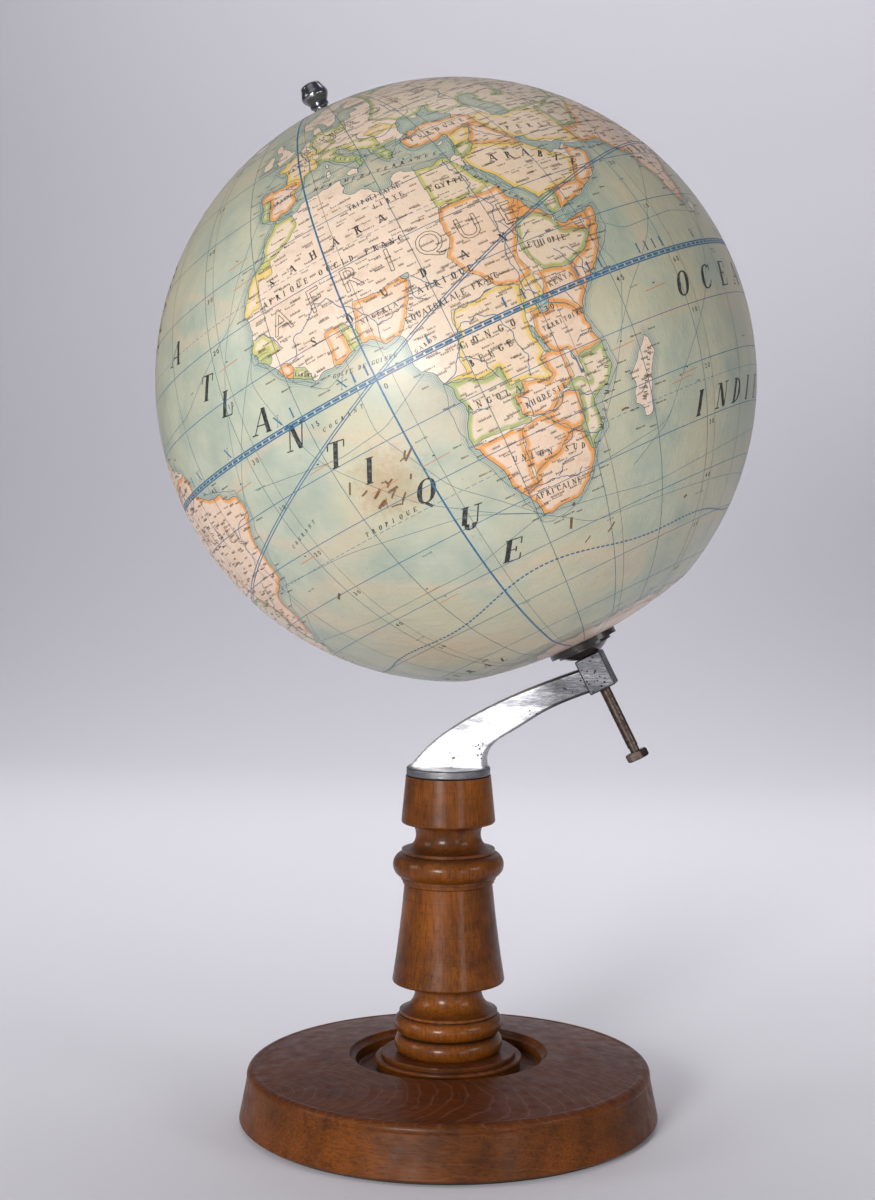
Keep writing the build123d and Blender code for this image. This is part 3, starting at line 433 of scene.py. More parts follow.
# Coasts, as longitude and latitude pairs.
coasts = {
    "africa": """-5.9 35.8 -5.3 35.2 -3 35.3 -1.9 35.1 0 35.8 3 36.8 5.3 36.8 7.7 36.9 9.8 37.3 11 37
        10.5 36.2 11.1 35.3 10.1 34.2 11.1 33.3 13.2 32.9 15.2 32.3 15.7 31.2 18 30.4 19.2 30.3 20.1 31 20
        32.2 21.6 32.9 23.1 32.6 23.2 32.2 25.1 31.6 27.5 31.1 29.1 30.8 30.4 31.5 31.2 31.6 32.3 31.3 32.55
        30 33.4 28 34 26.5 35.5 24 36.9 22 37.2 20.5 37.3 19 38.6 18 39.5 15.6 41.2 14.6 43.1 12.6 42.6 11.5
        43.3 11.5 44.3 10.4 47 11.1 49.5 11.4 51.2 11.9 51 10.4 50 8 48 4.5 46 2.4 44 1 42.5 -0.5 41 -2 40.2
        -2.7 39.2 -4.7 38.8 -6.3 39.5 -7 39.3 -8.5 40.4 -10.5 40.6 -14 40.8 -14.8 39.2 -16.8 36.9 -18 34.9
        -19.9 35.4 -22 35.5 -24 33 -25.3 32.7 -26 32.9 -27 32 -28.8 30.9 -30 29.3 -32 28 -33 25.7 -34 23.5
        -34 22 -34.1 20 -34.8 18.8 -34.3 18.4 -34.2 18.3 -32.7 18.2 -31.7 17 -29.7 15.7 -27.8 15 -26.5 14.5
        -22.8 13.4 -20.8 12 -18.2 11.8 -16 12.5 -14 13.7 -12.2 13.8 -10.7 13 -9 13.2 -7.5 12.2 -5.8 11.8
        -4.6 9.6 -2.6 8.8 -0.7 9.4 0.3 9.6 1.3 9.8 3.2 9.5 4 8.8 4.6 7.5 4.4 6.2 4.3 5.2 5.6 4.4 6.3 2.7 6.4
        1.2 6.1 1 5.8 -1 5.2 -2.1 4.8 -3.2 5.1 -5 5.2 -7.5 4.4 -9.2 5.6 -11.4 6.9 -12.6 7.7 -13.2 8.8 -13.7
        9.8 -15 11 -16.8 12.4 -16.6 13.5 -17.5 14.7 -16.5 16 -16.1 18 -16.3 19.5 -17 21 -16.9 22 -16 23.7
        -15 25.2 -14.5 26.2 -13 27.8 -11.5 28.4 -10.2 29.4 -9.7 30.5 -9.8 31.5 -8.5 33.2 -6.8 34.2""",
    "eurasia": """-5.6 36 -2.2 36.8 -0.6 37.6 0.2 38.7 -0.3 39.5 0.8 40.8 3.2 41.9 3.1 43.1 4.8 43.4 6.2
        43.1 8.5 44.3 10.3 43.4 11.5 42.3 13 41.2 14.5 40.6 15.7 40 16.1 38.7 15.7 38 17.1 39 16.6 39.7 17
        40.5 18.4 39.9 18 40.7 16 41.5 16 41.9 14 42.6 13.5 43.6 12.4 44.3 12.4 45.4 13.7 45.7 13.6 45 14.9
        45 15.2 44.2 17 43 19.4 41.9 19.4 40.5 21 38.9 21.2 37.5 22.5 36.5 23.2 36.5 23.1 37.5 24 37.7 23
        39.1 22.8 40.4 24 40.6 26 40.8 27 40.5 29 41 28 41.8 27.9 43.2 28.8 44.8 30.8 46.4 32.5 46 33.6 44.5
        35.4 45.1 35 46 37.5 47.1 39.2 47.2 38 45.4 37.5 44.7 39.8 43.5 41.6 42 41 41 38 41 35.1 42 33 42
        31.3 41.2 29.1 41.1 29 40.5 26.4 40 26.8 38.6 27.4 37 28.3 36.7 30.5 36.4 31.5 36.7 33.8 36.2 36
        36.8 35.9 35.5 35.2 33 34.5 31.6 34.2 31.3 32.4 31.2 32.6 30 33.6 28.2 34.2 27.8 34.9 29.5 34.7 28
        35.5 27.3 37 25 38.5 23 39.1 21.5 40.8 19.5 42.6 16.8 42.8 14.8 43.4 12.7 45 12.8 48.5 14 52 15.6 55
        17 57.8 19 58.7 20.6 59.8 22.5 58 23.8 56.4 24.9 56.3 26.2 54.5 24.2 51.6 24.2 51.5 25.9 50.8 25.5
        50 26.7 48.4 28.5 47.9 30 48.8 30.3 50.2 30 51.4 27.9 54.5 26.6 57 26.9 57.5 25.7 61.5 25.1 66.5
        25.3 67.4 24 69 22.4 70.5 20.8 72.2 21.2 72.8 19 73.5 16 74.8 13 76.3 9.5 77.5 8.1 78.2 9 79.8 10.3
        80.3 13.3 80.2 15.6 82.3 16.7 85 19.5 87 21.3 88.5 21.6 91.8 22.5 92.3 20.8 94.3 18.5 94.4 16 97
        16.8 98 14 98.7 11 98.3 8 100.3 6 101.3 2.9 103.5 1.3 104.2 1.4 103.4 4 102 6.2 100.4 7.5 99.3 9.3
        99.9 12 100.9 13.4 102.6 12 104.8 10.4 104.8 8.6 106.8 10.5 109.2 11.8 109.1 13.5 107.5 16.8 105.8
        18.8 106.7 20.8 108.5 21.6 110.3 21 113.5 22.2 117 23.5 119.5 25.5 121.8 29 121.8 31.5 120 34.2
        119.3 35 122.4 37.2 119 37.4 118 39 121.2 40.8 121.5 39 124.5 40 125.2 38 126.5 36 126.4 34.5 129.3
        35.3 129 37.5 127.6 39.5 130.5 42.3 135 43.5 140.5 48.5 141 53 137 54 136 55 143 59.3 152 59.2 156
        61.5 163 61.5 156 57 156.7 51.2 160 53 162.5 56.5 164 60 170.5 60 179 62.5 179.9 65 179.9 69 170 70
        160 69.7 152 71 140 72.5 130 71 127 73.3 113 73.7 105 77.6 98 76.3 87 75 80.5 73.5 80 72 75 72 73 68
        70 73 67 71.8 68 68.7 60 69 54 68.4 46 68.2 44 66.2 41 66.5 35 64.4 41 67.3 33 69.4 28 71 20 70 14.5
        68 12.5 66 10.5 64 5 62 5 60 5.5 58.8 7.5 58 10.5 59.2 11.3 58.8 12.8 56 14.3 55.5 16.4 56.6 16.7
        58.5 18.8 60 17.2 61.5 17.5 62.5 21.5 64.5 22.2 65.8 25.3 65 21.4 62.5 21.5 60.8 23 59.9 28 60.5 30
        60 28 59.5 23.5 59.3 24.3 58.3 24.3 57.2 21.6 57.5 21 55.3 19.8 54.4 18.6 54.7 14.2 53.9 11 54 10.8
        56 10.6 57.7 8.2 57 8.1 55.5 8.8 54 5 53.3 3.5 51.4 1.6 50.8 0.2 49.6 -1.5 49.6 -1.5 48.6 -4.7 48.5
        -2.2 47.2 -1.2 45.5 -1.6 43.4 -4 43.4 -8 43.7 -9.2 43 -8.8 41 -9.5 38.7 -8.9 37 -7.4 37.2 -6.3
        36.5""",
    "britain": """-5.7 50.1 -3.5 50.3 1.4 51.2 0.8 51.5 1.7 52.7 0.3 53 -0.2 54.3 -1.6 55.5 -3 56 -2
        57.7 -4 57.7 -3.2 58.6 -5 58.6 -5.8 57 -5 55.5 -3.2 54.9 -3 53.7 -4.6 53.2 -4.2 52.3 -5.2 51.8 -3
        51.4 -4.3 51.1""",
    "ireland": "-6 52.2 -9.8 51.6 -10 53.4 -8.3 54.5 -7.3 55.3 -5.6 54.6 -6.1 53.4",
    "iceland": "-22.5 64 -18.5 63.4 -14 64.8 -14.8 66.2 -18 66 -22.5 66.4 -24 65.5 -22 64.7",
    "sardinia": "8.3 39 9.6 39.2 9.6 41.1 8.3 40.9", "corsica": "9 41.5 9.5 42 9.4 43 8.6 42.3",
    "sicily": "12.5 38 15.5 38.2 15.1 36.7 12.6 37.6", "crete": "23.6 35.5 26.3 35.2 24.8 34.9",
    "cyprus": "32.4 35 34.5 35.6 33.8 34.9 32.8 34.6",
    "caspian": """47.5 45 51 47 53 46.8 53 45 51 44.5 52.5 42 53.8 40 53.8 37 51 36.7 49 37.6 49.4 40.3
        48 42 47 43.8""",
    "aral": "58.2 44 61 46.5 61.5 45 60 43.7",
    "victoria_lake": "31.8 -0.5 33 0.3 34.2 0 33.9 -1.6 33 -2.4 31.8 -2.2",
    "long_lake": "29.1 -3.4 29.6 -3.4 31.1 -8.6 30.5 -8.7",
    "south_lake": "34 -9.5 34.6 -11 35.2 -14.3 34.6 -14 34 -11",
    "desert_lake": "13.3 13.4 14.9 13.7 14.5 12.4",
    "madagascar": """49.3 -12 50.5 -15.6 49.6 -16.5 47.2 -24.9 45 -25.5 43.3 -22.5 44.4 -19.8 44 -17.5
        46 -15.8 48 -13.7""",
    "ceylon": "80 9.7 81.8 7.5 80.6 6 79.8 7.5",
    "south_america": """-77.4 8.7 -75.5 10.6 -72 12.3 -71.3 11 -68 11.4 -64 10.4 -61.9 10.7 -60 8.5 -57
        6 -52 4.8 -50 1.7 -50 0 -48.5 -1.2 -44.5 -2.8 -40 -2.9 -37.2 -4.7 -35.3 -5.2 -34.8 -7.5 -36.5 -10.6
        -38.5 -13 -39 -16 -39.8 -19.6 -41 -22 -43.5 -23 -46.5 -24 -48.6 -26 -48.7 -28.5 -51 -31 -53.5 -34
        -56 -34.9 -58.4 -34.2 -57 -36.5 -59 -38.7 -62.2 -39 -65 -41 -64 -42.5 -67 -45.5 -65.8 -47.3 -69
        -50.5 -68.4 -52.3 -65.3 -54.8 -70 -55 -74 -52.5 -75.5 -48 -74 -44 -73.3 -39 -71.6 -33 -71.3 -28
        -70.3 -20 -70.4 -18.3 -75 -15.5 -77.5 -11.5 -81.2 -6 -80 -3 -80.9 -1 -79.9 1 -78.5 2 -77.3 4 -77.5
        7""",
    "north_america": """-77.4 8.7 -79.6 9.5 -82 9 -83.5 11 -83.3 15 -86 15.9 -88.3 15.8 -87.5 18.5 -86.9
        21.3 -90.3 21.1 -91 18.7 -94.5 18.2 -97.3 20.8 -97.5 25.5 -95 29 -90.5 29.3 -85 29.8 -82.7 27.8
        -81.3 25.2 -80.1 26 -81.4 30.5 -79 33.3 -75.6 35.3 -76 37.5 -74 40.2 -70 41.7 -70.5 43.3 -67 44.7
        -65.5 43.5 -60 46 -64.5 46.3 -65 48.5 -69 48 -66 50.2 -60 50 -56 52.3 -58 54.5 -61.5 57 -64.5 60.2
        -69 59 -72 61.8 -78 62.4 -77 58 -76.5 56 -79.5 54.5 -80 51.2 -82.3 53 -85 55.3 -92.5 57 -94.7 59 -94
        61.5 -90 63.5 -87 64.3 -86 66.3 -82 67 -81.5 69.3 -90 69 -95 68 -96 71.5 -100 68 -108 68 -115 68
        -120 69.5 -128 70.3 -136 69 -145 70 -156 71.3 -164 68.7 -162 66.3 -167.5 65.6 -161 64.4 -165 61.5
        -162 59 -157 58.6 -163 55 -155 57.5 -151 60 -146 60.6 -139 59.8 -134 57.5 -130 54.5 -127 51 -123 49
        -124.5 48 -124 44 -124.3 40.5 -122 37 -120.6 34.5 -117.2 32.7 -114.5 29.5 -112.2 25.5 -110 23 -110.5
        24.8 -113 28.5 -114.7 31.6 -112.5 29.5 -109 26.5 -105.5 22 -105.5 20 -101 17.5 -96 15.8 -92 14.5
        -87.5 13 -85.7 11 -83.5 8.6 -80 7.4 -78 8.2""",
    "baffin": """-65 62 -72 64 -78 65 -73 68 -80 70 -89 71 -89 73.5 -80 73.7 -72 71.5 -67 69 -61.7 66.8
        -64 64""",
    "arctic_west": "-117 70.5 -105 69 -101 70 -105 73 -115 73.3",
    "arctic_east": "-90 76.5 -78 76.3 -75 79 -62 82.5 -75 83 -92 81.5 -87 79",
    "greenland": """-43.5 59.9 -50 62 -53 66 -51 69.5 -54.5 70.5 -58 75 -68 76 -73 78.3 -65 80.5 -50
        82.3 -33 83.6 -20 81.5 -18 77 -21 73 -22 70.5 -32 68 -38 65.5 -41 63""",
    "svalbard": "12 79.5 16 76.7 25 80", "novaya": "52 71 56 70.7 60 75 68.5 76.9 60 76 55 73.5",
    "cuba": "-84.8 22 -82 23.1 -77 21.7 -74.3 20.2 -77.5 19.9 -78 20.9 -82 22.4",
    "haiti": "-74.3 18.4 -72.8 19.9 -68.5 18.7 -71.5 17.8",
    "newfoundland": "-59.2 47.8 -55.7 51.5 -53 47 -55.8 47",
    "sumatra": "95.3 5.5 97.5 5.2 103.7 -1 106 -3.2 105.8 -5.8 104.5 -5.8 100.5 -1.2 98.7 1.8",
    "java": "105.2 -6.8 106.8 -6 110.8 -6.5 114.4 -7.8 114.4 -8.7 108 -7.8",
    "borneo": "109 1.8 111 1.6 113.2 3.2 116.9 7 119 5 117.6 1 116 -4 111.5 -3.3 110 -1.3",
    "celebes": """119 -3.5 119.8 0.6 125 1.5 120.5 0.5 121.2 -1 123 -0.9 121.8 -2 122.5 -4.6 120.8 -2.8
        120.4 -5.5 119.4 -5.4""",
    "new_guinea": """131 -0.8 134 -0.8 135 -3.3 138 -1.7 141 -2.6 145.8 -5.3 147 -6.8 150.8 -10.5 146.5
        -8.8 143 -9.2 141 -9.1 138.5 -8.3 138 -5.5 133 -4 134 -2.5 131.5 -1.6""",
    "luzon": "120.5 18.4 122.2 18.4 121.5 15.5 124 13 121 13.8 120 15.5",
    "mindanao": "122 7 125.5 9.8 126.4 7.5 125.5 5.8 124 7", "formosa": "120.2 23 121.5 25.2 121 22",
    "hainan": "108.7 19.2 110.8 20 109.5 18.3",
    "honshu": """131 34 133 35.5 136 35.7 137.3 37.4 139.8 39 140.3 41.2 141.6 40.5 141 38.2 140.8 35.8
        138.8 34.8 136.8 34.5 135.7 33.5 135 34.6""",
    "kyushu": "129.8 33 131 33.9 132 33.2 131.3 31.4 130.2 31.3",
    "shikoku": "132.5 33.8 134.5 34.3 134.2 33.3 133 32.8",
    "hokkaido": "140.2 42 141.8 45.4 145.3 43.8 143.2 42 141 42.5",
    "sakhalin": "142 46 143 49 143.2 53 142.3 54.2 142 50",
    "australia": """113.7 -22.5 114 -26 115.7 -32 115.2 -34.2 118 -35 123.5 -33.9 129 -31.6 131.5 -31.5
        135 -34.5 137.8 -32.7 137.7 -35.2 138.5 -34.8 140.5 -38 144.5 -38.2 146.3 -39 150 -37.5 151.3 -33.5
        153.5 -28.5 153 -25.3 149.5 -22.3 146.3 -19 145.4 -15 143.7 -14.3 142.5 -10.8 141.6 -13 141 -17.3
        139 -17.4 135.5 -15 136.8 -12.2 132.7 -11.5 130.5 -12.5 129.5 -14.8 126 -14 122.3 -17.5 121.5 -19
        117 -20.7""",
    "tasmania": "144.8 -40.8 148.2 -41 147.8 -43.2 146 -43.5",
    "new_zealand_north": "173 -34.6 175.8 -36.7 178.4 -37.8 177 -39.5 175 -41.5 174 -39.3 174.8 -37.5",
    "new_zealand_south": "172.7 -40.6 174.2 -41.7 171 -44.2 170.5 -46 168.4 -46.6 166.6 -45.8 170.7 -42.8",
}
south_ice = """-179.9 -78 -160 -77.5 -150 -76 -130 -74.5 -110 -74.5 -100 -73 -80 -73 -70 -69.5 -62 -64.5
    -57.5 -63.3 -62 -67 -62 -73 -60 -77 -40 -78 -28 -76 -18 -72.5 -8 -71 0 -70 15 -70 30 -69 40 -69 50 -67
    60 -67.3 72 -69.5 80 -67.5 90 -66.5 110 -66 130 -66 145 -67.5 160 -70 170 -72 165 -78 179.9 -78"""
coast_lines = {name: roughened(outline(words), True) for name, words in coasts.items()}
ice_line = roughened(outline(south_ice), False)
coast_rings = list(coast_lines.values()) + [np.vstack([ice_line, [[180, -90], [-180, -90]], ice_line[:1]])]

# Territories whose edges carry a band of wash, with the colour of the band.
orange_wash, yellow_wash, green_wash, lime_wash = "#e69a45", "#e6c35c", "#a3b069", "#bfbd5f"
territories = [
    (orange_wash, """2.7 6 2.7 9 3.6 11.7 4.1 13.5 6.8 13.1 9 12.8 13.6 13.7 14.6 12.9 13.2 9.6 11.3 6.6
        9 4.3 6 3.5"""),
    (orange_wash, """25 22 37.5 22 39 18 36.5 14.3 34.3 10.6 33 8 34 4.6 30.8 3.5 27.4 5 24.2 8.7 22.9
        11 22 13 24 15.7 24 19.5"""),
    (lime_wash, "25 32.4 25 22 37.5 22 34.8 27.5 32.5 30 32.5 32 29 32.2"),
    (green_wash, "36.5 14.3 40 14.5 42.4 12 43 10.5 48 8 45 5 42 4 39.5 3.5 36 4.4 34.5 8 34.3 10.6"),
    (orange_wash, "36.5 14.3 37 17 38.6 18.5 43.5 12.4 42.4 12.2 40 14.5"),
    (orange_wash, "43 11.8 49 12 49 9 48 8 43 9.5"),
    (orange_wash, "49 12 52 12.5 51.6 8 44 0 41.5 -2.2 41 0 41 3.5 45 5 48 8 49 9"),
    (orange_wash, "34 4.6 36 4.4 39.5 3.5 41 3.5 41.3 -2 39.3 -5.2 37.6 -3 34 -1 34 1 35 3"),
    (yellow_wash, "34 -1 34 4.4 30.8 3.5 29.6 -1.3"),
    (orange_wash, """34 -1 37.6 -3 39.3 -5 40 -7 41 -10.5 35 -11.6 34 -9.5 31 -8.5 29.4 -5 30.5 -2.5
        30.5 -1"""),
    (yellow_wash, """12 -5.9 16.5 -5.9 16.2 -3.5 18 0 18.5 4.5 22.5 4.1 27.4 5 30.8 3.5 29.6 -1.3 29.3
        -4.5 30.7 -8.3 28.6 -9 29.8 -12.2 28.4 -13 27 -12 24 -11 22 -11.1 21.8 -7.3 18 -8.1 16.6 -7 12
        -6.2"""),
    (green_wash, """12 -6 16.6 -7 18 -8.1 21.8 -7.3 22 -11.1 24 -11 24 -13 22 -13 22 -16.2 23.4 -17.6 11
        -17.3 11 -10"""),
    (orange_wash, """22 -13 24 -13 24 -11 27 -12 28.4 -13 29.8 -12.2 28.6 -9 30.7 -8.3 33 -9.4 33.2 -14
        30 -15.6 27 -17.9 25.3 -17.8 22 -16.2"""),
    (orange_wash, "25.3 -17.8 27 -17.9 30 -15.6 33 -16.5 32.5 -21.3 31.2 -22.3 29.4 -22.2 27.5 -20.5"),
    (orange_wash, "20 -22 21 -18.3 25.3 -17.8 27.5 -20.5 29.4 -22.2 26 -24.7 22.7 -25.5 20 -26.8"),
    (orange_wash, "11 -17.3 21 -18.3 20 -22 20 -28.4 16 -28.7 13.5 -24"),
    (orange_wash, """15.8 -28.7 20 -28.4 20 -26.8 22.7 -25.5 26 -24.7 29.4 -22.2 31.3 -22.3 32 -26.8
        33.3 -27 31 -31 26 -35 18 -35.8"""),
    (green_wash, """41.2 -10.5 35 -11.6 35.8 -16 34.3 -14.5 30.3 -15 33 -16.5 32.5 -21.3 31.2 -22.3 32
        -26.8 36.5 -24.5 36.5 -20 42 -15"""),
    (orange_wash, "-3.1 4.6 -2.8 9.6 -2.8 11 0 11.1 0.6 8.2 1.2 5.6"),
    (green_wash, "-11.5 6.4 -10.3 8.5 -8.4 7.6 -7.5 4"),
    (orange_wash, "-13.8 9 -12 9.9 -10.6 9 -10.3 8.5 -11.5 6.4"),
    (green_wash, "-17.3 12.4 -13.7 12.6 -13.8 11.6 -15.3 10.6"),
    (yellow_wash, "-17.5 20.8 -13 21.3 -12.9 23.4 -12 26 -8.7 26 -8.7 27.7 -13.5 27.7 -15.8 25"),
    (orange_wash, "-17.3 13.8 -14 13.8 -14 13.2 -17.3 13.1"),
    (lime_wash, "0.6 5.8 0.6 8.2 0 11.1 1 11.1 2.7 9 2.7 6"),
    (lime_wash, """-1.9 35.5 -1.2 32.5 -3.5 30.5 -8.7 28.7 -8.7 27.7 -13.5 27.7 -10.5 30 -9.3 33.5 -5.9
        36.2"""),
    (lime_wash, "-12.3 14.8 -11.4 12.4 -13.7 12.6 -17.8 12.3 -17.9 14.7 -16.8 16.5 -14 16.6"),
    (orange_wash, """-1.8 43.7 3.4 42.4 0.6 38.5 -2 36.3 -5.6 35.9 -7.4 36.9 -7 39.5 -6.5 41.9 -9 41.9
        -9.6 43.8"""),
    (green_wash, "-7.4 36.8 -7 39.5 -6.5 41.9 -9.1 41.9 -9.9 38"),
    (yellow_wash, """-1.8 43.4 3.2 42.3 4 43 7.6 43.6 7 46 6 47 8.2 49 4 50 2.4 51.3 -1.5 50 -5.2 48.5
        -1.8 46"""),
    (green_wash, "7.6 43.6 7 46 10.5 46.8 13.7 46.5 13.6 45.5 12.8 44.5 18.9 40.3 15.8 37.5 12 41.2 9 44"),
    (lime_wash, """6 51 7 53.8 9 54.8 14.2 54.3 18.3 54.9 17.5 51 12.2 50.3 13.7 48.7 10.2 47.4 7.6 47.6
        8.2 49"""),
    (orange_wash, "26 40 29 41.5 35 42.4 41.5 41.5 44.5 39.7 44.5 37.2 38.5 36.8 36 35.9 30 36 27 36.3"),
    (green_wash, "19.4 41.9 22.5 41.2 26.5 41.5 26 40.4 22 35.8 19.5 39.8"),
    (lime_wash, "13.7 46.5 19 45.9 22.5 44.5 22.5 41.2 19.4 41.9 15 43.6"),
    (yellow_wash, "20.5 46.2 24.9 47.8 28.2 45.4 29.8 45 28.6 43.7 22.7 44.2"),
    (yellow_wash, "35.7 33 39 33.5 42.3 37.2 38.5 36.8 36 36.6"),
    (green_wash, "34.3 31.3 35 29.5 39 32 39 33.5 35.7 33.2 34.8 33"),
    (orange_wash, "39 32 46.5 29 48.6 29 48.6 30.2 45.5 34 44.5 37.2 42.3 37.2 39 33.5"),
    (yellow_wash, "34.4 29.4 39 32 46.5 29 48.4 28.5 52.3 24.5 55 22 52 17.5 46 17.2 42.4 16.4 38.6 21.5"),
    (orange_wash, "55 22 56.3 25.4 60.5 22.5 57.8 18.4 53 16 52 17.5"),
    (green_wash, "42.4 16.4 46 17.2 45.3 13.4 42.9 12.5"),
    (orange_wash, "46 17.2 52 17.5 53 16 45 12.3 45.3 13.4"),
    (yellow_wash, """44.5 39.7 48 39.5 49 37.5 54 37.2 61 36.5 61 31 61.7 24.8 57 26.3 51 28 48.5 29.8
        45.5 34 44.5 37.2"""),
    (green_wash, "61 36.5 65 37.3 71 37.5 70 33.5 66.3 29.8 61 29.8"),
    (orange_wash, """61.7 24.5 61 29.8 66.3 29.8 70 33.5 74 36.5 79 31 88 27.5 97 28 93 20.5 88 20.5
        80.8 15 80 9 77.5 7.5 72 20 67 23.5"""),
    (orange_wash, """-51.5 4.4 -60 4 -64 1.5 -70 1 -73.5 -8 -65 -10.5 -60 -15 -57.5 -22 -54 -27 -57 -30
        -53.4 -34.2 -47.5 -28 -40 -23 -38.3 -18 -33.8 -8 -35 -4 -44 -1.8 -49.5 2"""),
    (green_wash, """-57.5 -22 -62.5 -22 -66 -22 -68.5 -25 -70 -33 -71.5 -40 -72 -50 -68.5 -52.5 -64 -48
        -61 -41 -56.5 -37 -58 -34 -57 -30 -54 -27"""),
    (yellow_wash, "-60 4 -61 8.7 -72.5 12.6 -72.5 7.5 -67 6 -67 1 -64 1.5"),
    (green_wash, "-70 -18.3 -69.5 -12 -73.5 -8 -70 -4 -75 0 -80.5 -3.4 -82 -6 -76 -15.8"),
    (green_wash, """-125 49 -95 49 -82.5 42 -75 45 -67 47.5 -66 44.6 -74.5 39 -75 34.5 -81 29.5 -80 24.8
        -90 28.6 -97.2 25.5 -104 29.5 -111 31.3 -117.5 32.4 -123.5 37"""),
    (orange_wash, """-125 49 -95 49 -82.5 42 -75 45 -67 47.5 -60 45 -55 52 -60 60 -64 60.5 -78 63 -80 69
        -96 72.5 -120 71 -141 70.3 -141 60 -131 54"""),
    (yellow_wash, """-117.5 32.4 -111 31.3 -104 29.5 -97.2 25.5 -98.2 20.5 -94.5 17.8 -91.5 18.2 -92.3
        14.3 -96 15.3 -106 19.5 -111 22.5 -116 28.5"""),
    (yellow_wash, """74 36.5 79 31 88 27.5 97 28 101 21.5 108 21.3 114 21.8 122.5 29 119 39 124 40 130
        43 120 49 116 48 98 42 90 46 82 45"""),
    (green_wash, """30 60 28 56 24 50.5 30 46.2 38 44 48 42 54 37.3 66 37.4 74 39.5 82 45 90 50 110 49.5
        120 53.5 135 48.5 131 42.6 140 47.5 142 54 136 56 143 60 156 62 180 63 180 70 140 73.3 105 78.3 68
        73.5 44 69 31 69.8"""),
    (orange_wash, """113 -22 114 -35 124 -34.5 137 -36 146 -39.8 150.5 -38 154.2 -28 146 -17 142.5 -10
        136 -11.3 130 -11.3 121 -17.5"""),
    (yellow_wash, "98.5 12 102 15 107 17 109.8 13 105 8 102.5 11 100 13"),
]
territory_lines = [(wash, roughened(outline(words), True, 0.8, 0.07)) for wash, words in territories]

# The printed face as one grid of points; each gore takes its own slice.
row_count, column_count = 360, 720
row_latitudes = np.linspace(-90, 90, row_count + 1)
column_longitudes = first_meridian + np.arange(column_count + 1) * 360 / column_count + 90
grid_longitudes = (column_longitudes + 180) % 360 - 180


def parity(rings):
    """True where a grid point lies inside an odd number of closed lines."""
    inside = np.zeros((row_count + 1, column_count + 1), bool)
    for ring in rings:
        x0, y0, x1, y1 = ring[:-1, 0], ring[:-1, 1], ring[1:, 0], ring[1:, 1]
        first_row = max(np.searchsorted(row_latitudes, min(y0.min(), y1.min())), 0)
        last_row = min(np.searchsorted(row_latitudes, max(y0.max(), y1.max())), row_count)
        for row in range(first_row, last_row + 1):
            level = row_latitudes[row] + 1e-6
            cut = (y0 > level) != (y1 > level)
            if cut.any():
                hits = np.sort(x0[cut] + (level - y0[cut]) / (y1[cut] - y0[cut]) * (x1[cut] - x0[cut]))
                inside[row] ^= np.searchsorted(hits, grid_longitudes) % 2 == 1
    return inside


grid_units = direction(*np.meshgrid(column_longitudes, row_latitudes)).reshape(-1, 3)


def distances(lines, reach):
    """Distance in mm from each grid point to the nearest drawn line, up to reach."""
    starts, ends = [], []
    for line in lines:
        units = direction(line[:, 0], line[:, 1]) * globe_radius
        long_enough = np.abs(np.diff(line[:, 0])) < 90
        starts.append(units[:-1][long_enough])
        ends.append(units[1:][long_enough])
    starts, ends = np.vstack(starts), np.vstack(ends)
    tree = KDTree(2 * len(starts))
    for index, (start, end) in enumerate(zip(starts, ends)):
        tree.insert(start * 0.75 + end * 0.25, index)
        tree.insert(start * 0.25 + end * 0.75, index)
    tree.balance()
    points = grid_units * globe_radius
    nearest = np.array([tree.find(point)[1] for point in points])
    result = np.full(len(points), float(reach))
    for neighbour in (-1, 0, 1):
        index = np.clip(nearest + neighbour, 0, len(starts) - 1)
        run = ends[index] - starts[index]
        offset = points - starts[index]
        share = np.clip((offset * run).sum(1) / np.maximum((run * run).sum(1), 1e-9), 0.0, 1.0)
        result = np.minimum(result, np.linalg.norm(offset - share[:, None] * run, axis=1))
    return result


land = parity(coast_rings).reshape(-1)
coast_distance = distances(list(coast_lines.values()) + [ice_line], 8.0)
coast_distance[~land] *= -1
wash_colour = np.tile(np.array(linear("#e2d2b8")), (len(grid_units), 1))
claimed = np.zeros(len(grid_units), bool)
for wash, line in territory_lines:
    inside = parity([line]).reshape(-1)
    wash_colour[inside] = linear(wash)
    claimed |= inside
border_distance = distances([line for wash, line in territory_lines], 5.0)
border_distance[~claimed] *= -1

# Varnished map paper: matt rag paper under a yellowed oil varnish, so a soft wide shine,
# brown foxing, rubbed patches and faint wrinkles along the pasted gores.
map_paper, tree, shader = new_material("rag_paper_printed_varnished")
place = millimetres(tree)
coast = add(tree, "Attribute", attribute_name="coast").outputs["Fac"]
border = add(tree, "Attribute", attribute_name="border").outputs["Fac"]
wash = add(tree, "Attribute", attribute_name="wash").outputs["Color"]
mottle = add(tree, "TexNoise", {"Vector": place, "Scale": 0.045, "Detail": 4.0, "Roughness": 0.6})
cloud = add(tree, "TexNoise", {"Vector": place, "Scale": 0.012, "Detail": 3.0, "Roughness": 0.6})
speck = add(tree, "TexNoise", {"Vector": place, "Scale": 0.9, "Detail": 3.0, "Roughness": 0.65})
sea = add(tree, "Mix", {0: add(tree, "MapRange", [mottle, 0.35, 0.68]), 6: "#a7b3a4", 7: "#bfc3ae"},
    data_type="RGBA")
sea = add(tree, "Mix", {0: add(tree, "MapRange", [cloud, 0.44, 0.60, 0.0, 0.85]), 6: sea, 7: "#c6c1a5"},
    data_type="RGBA")
current_band = add(tree, "TexNoise", {"Vector": millimetres(tree, (0.005, 0.008, 0.014)), "Scale": 1.0,
    "Detail": 1.0})
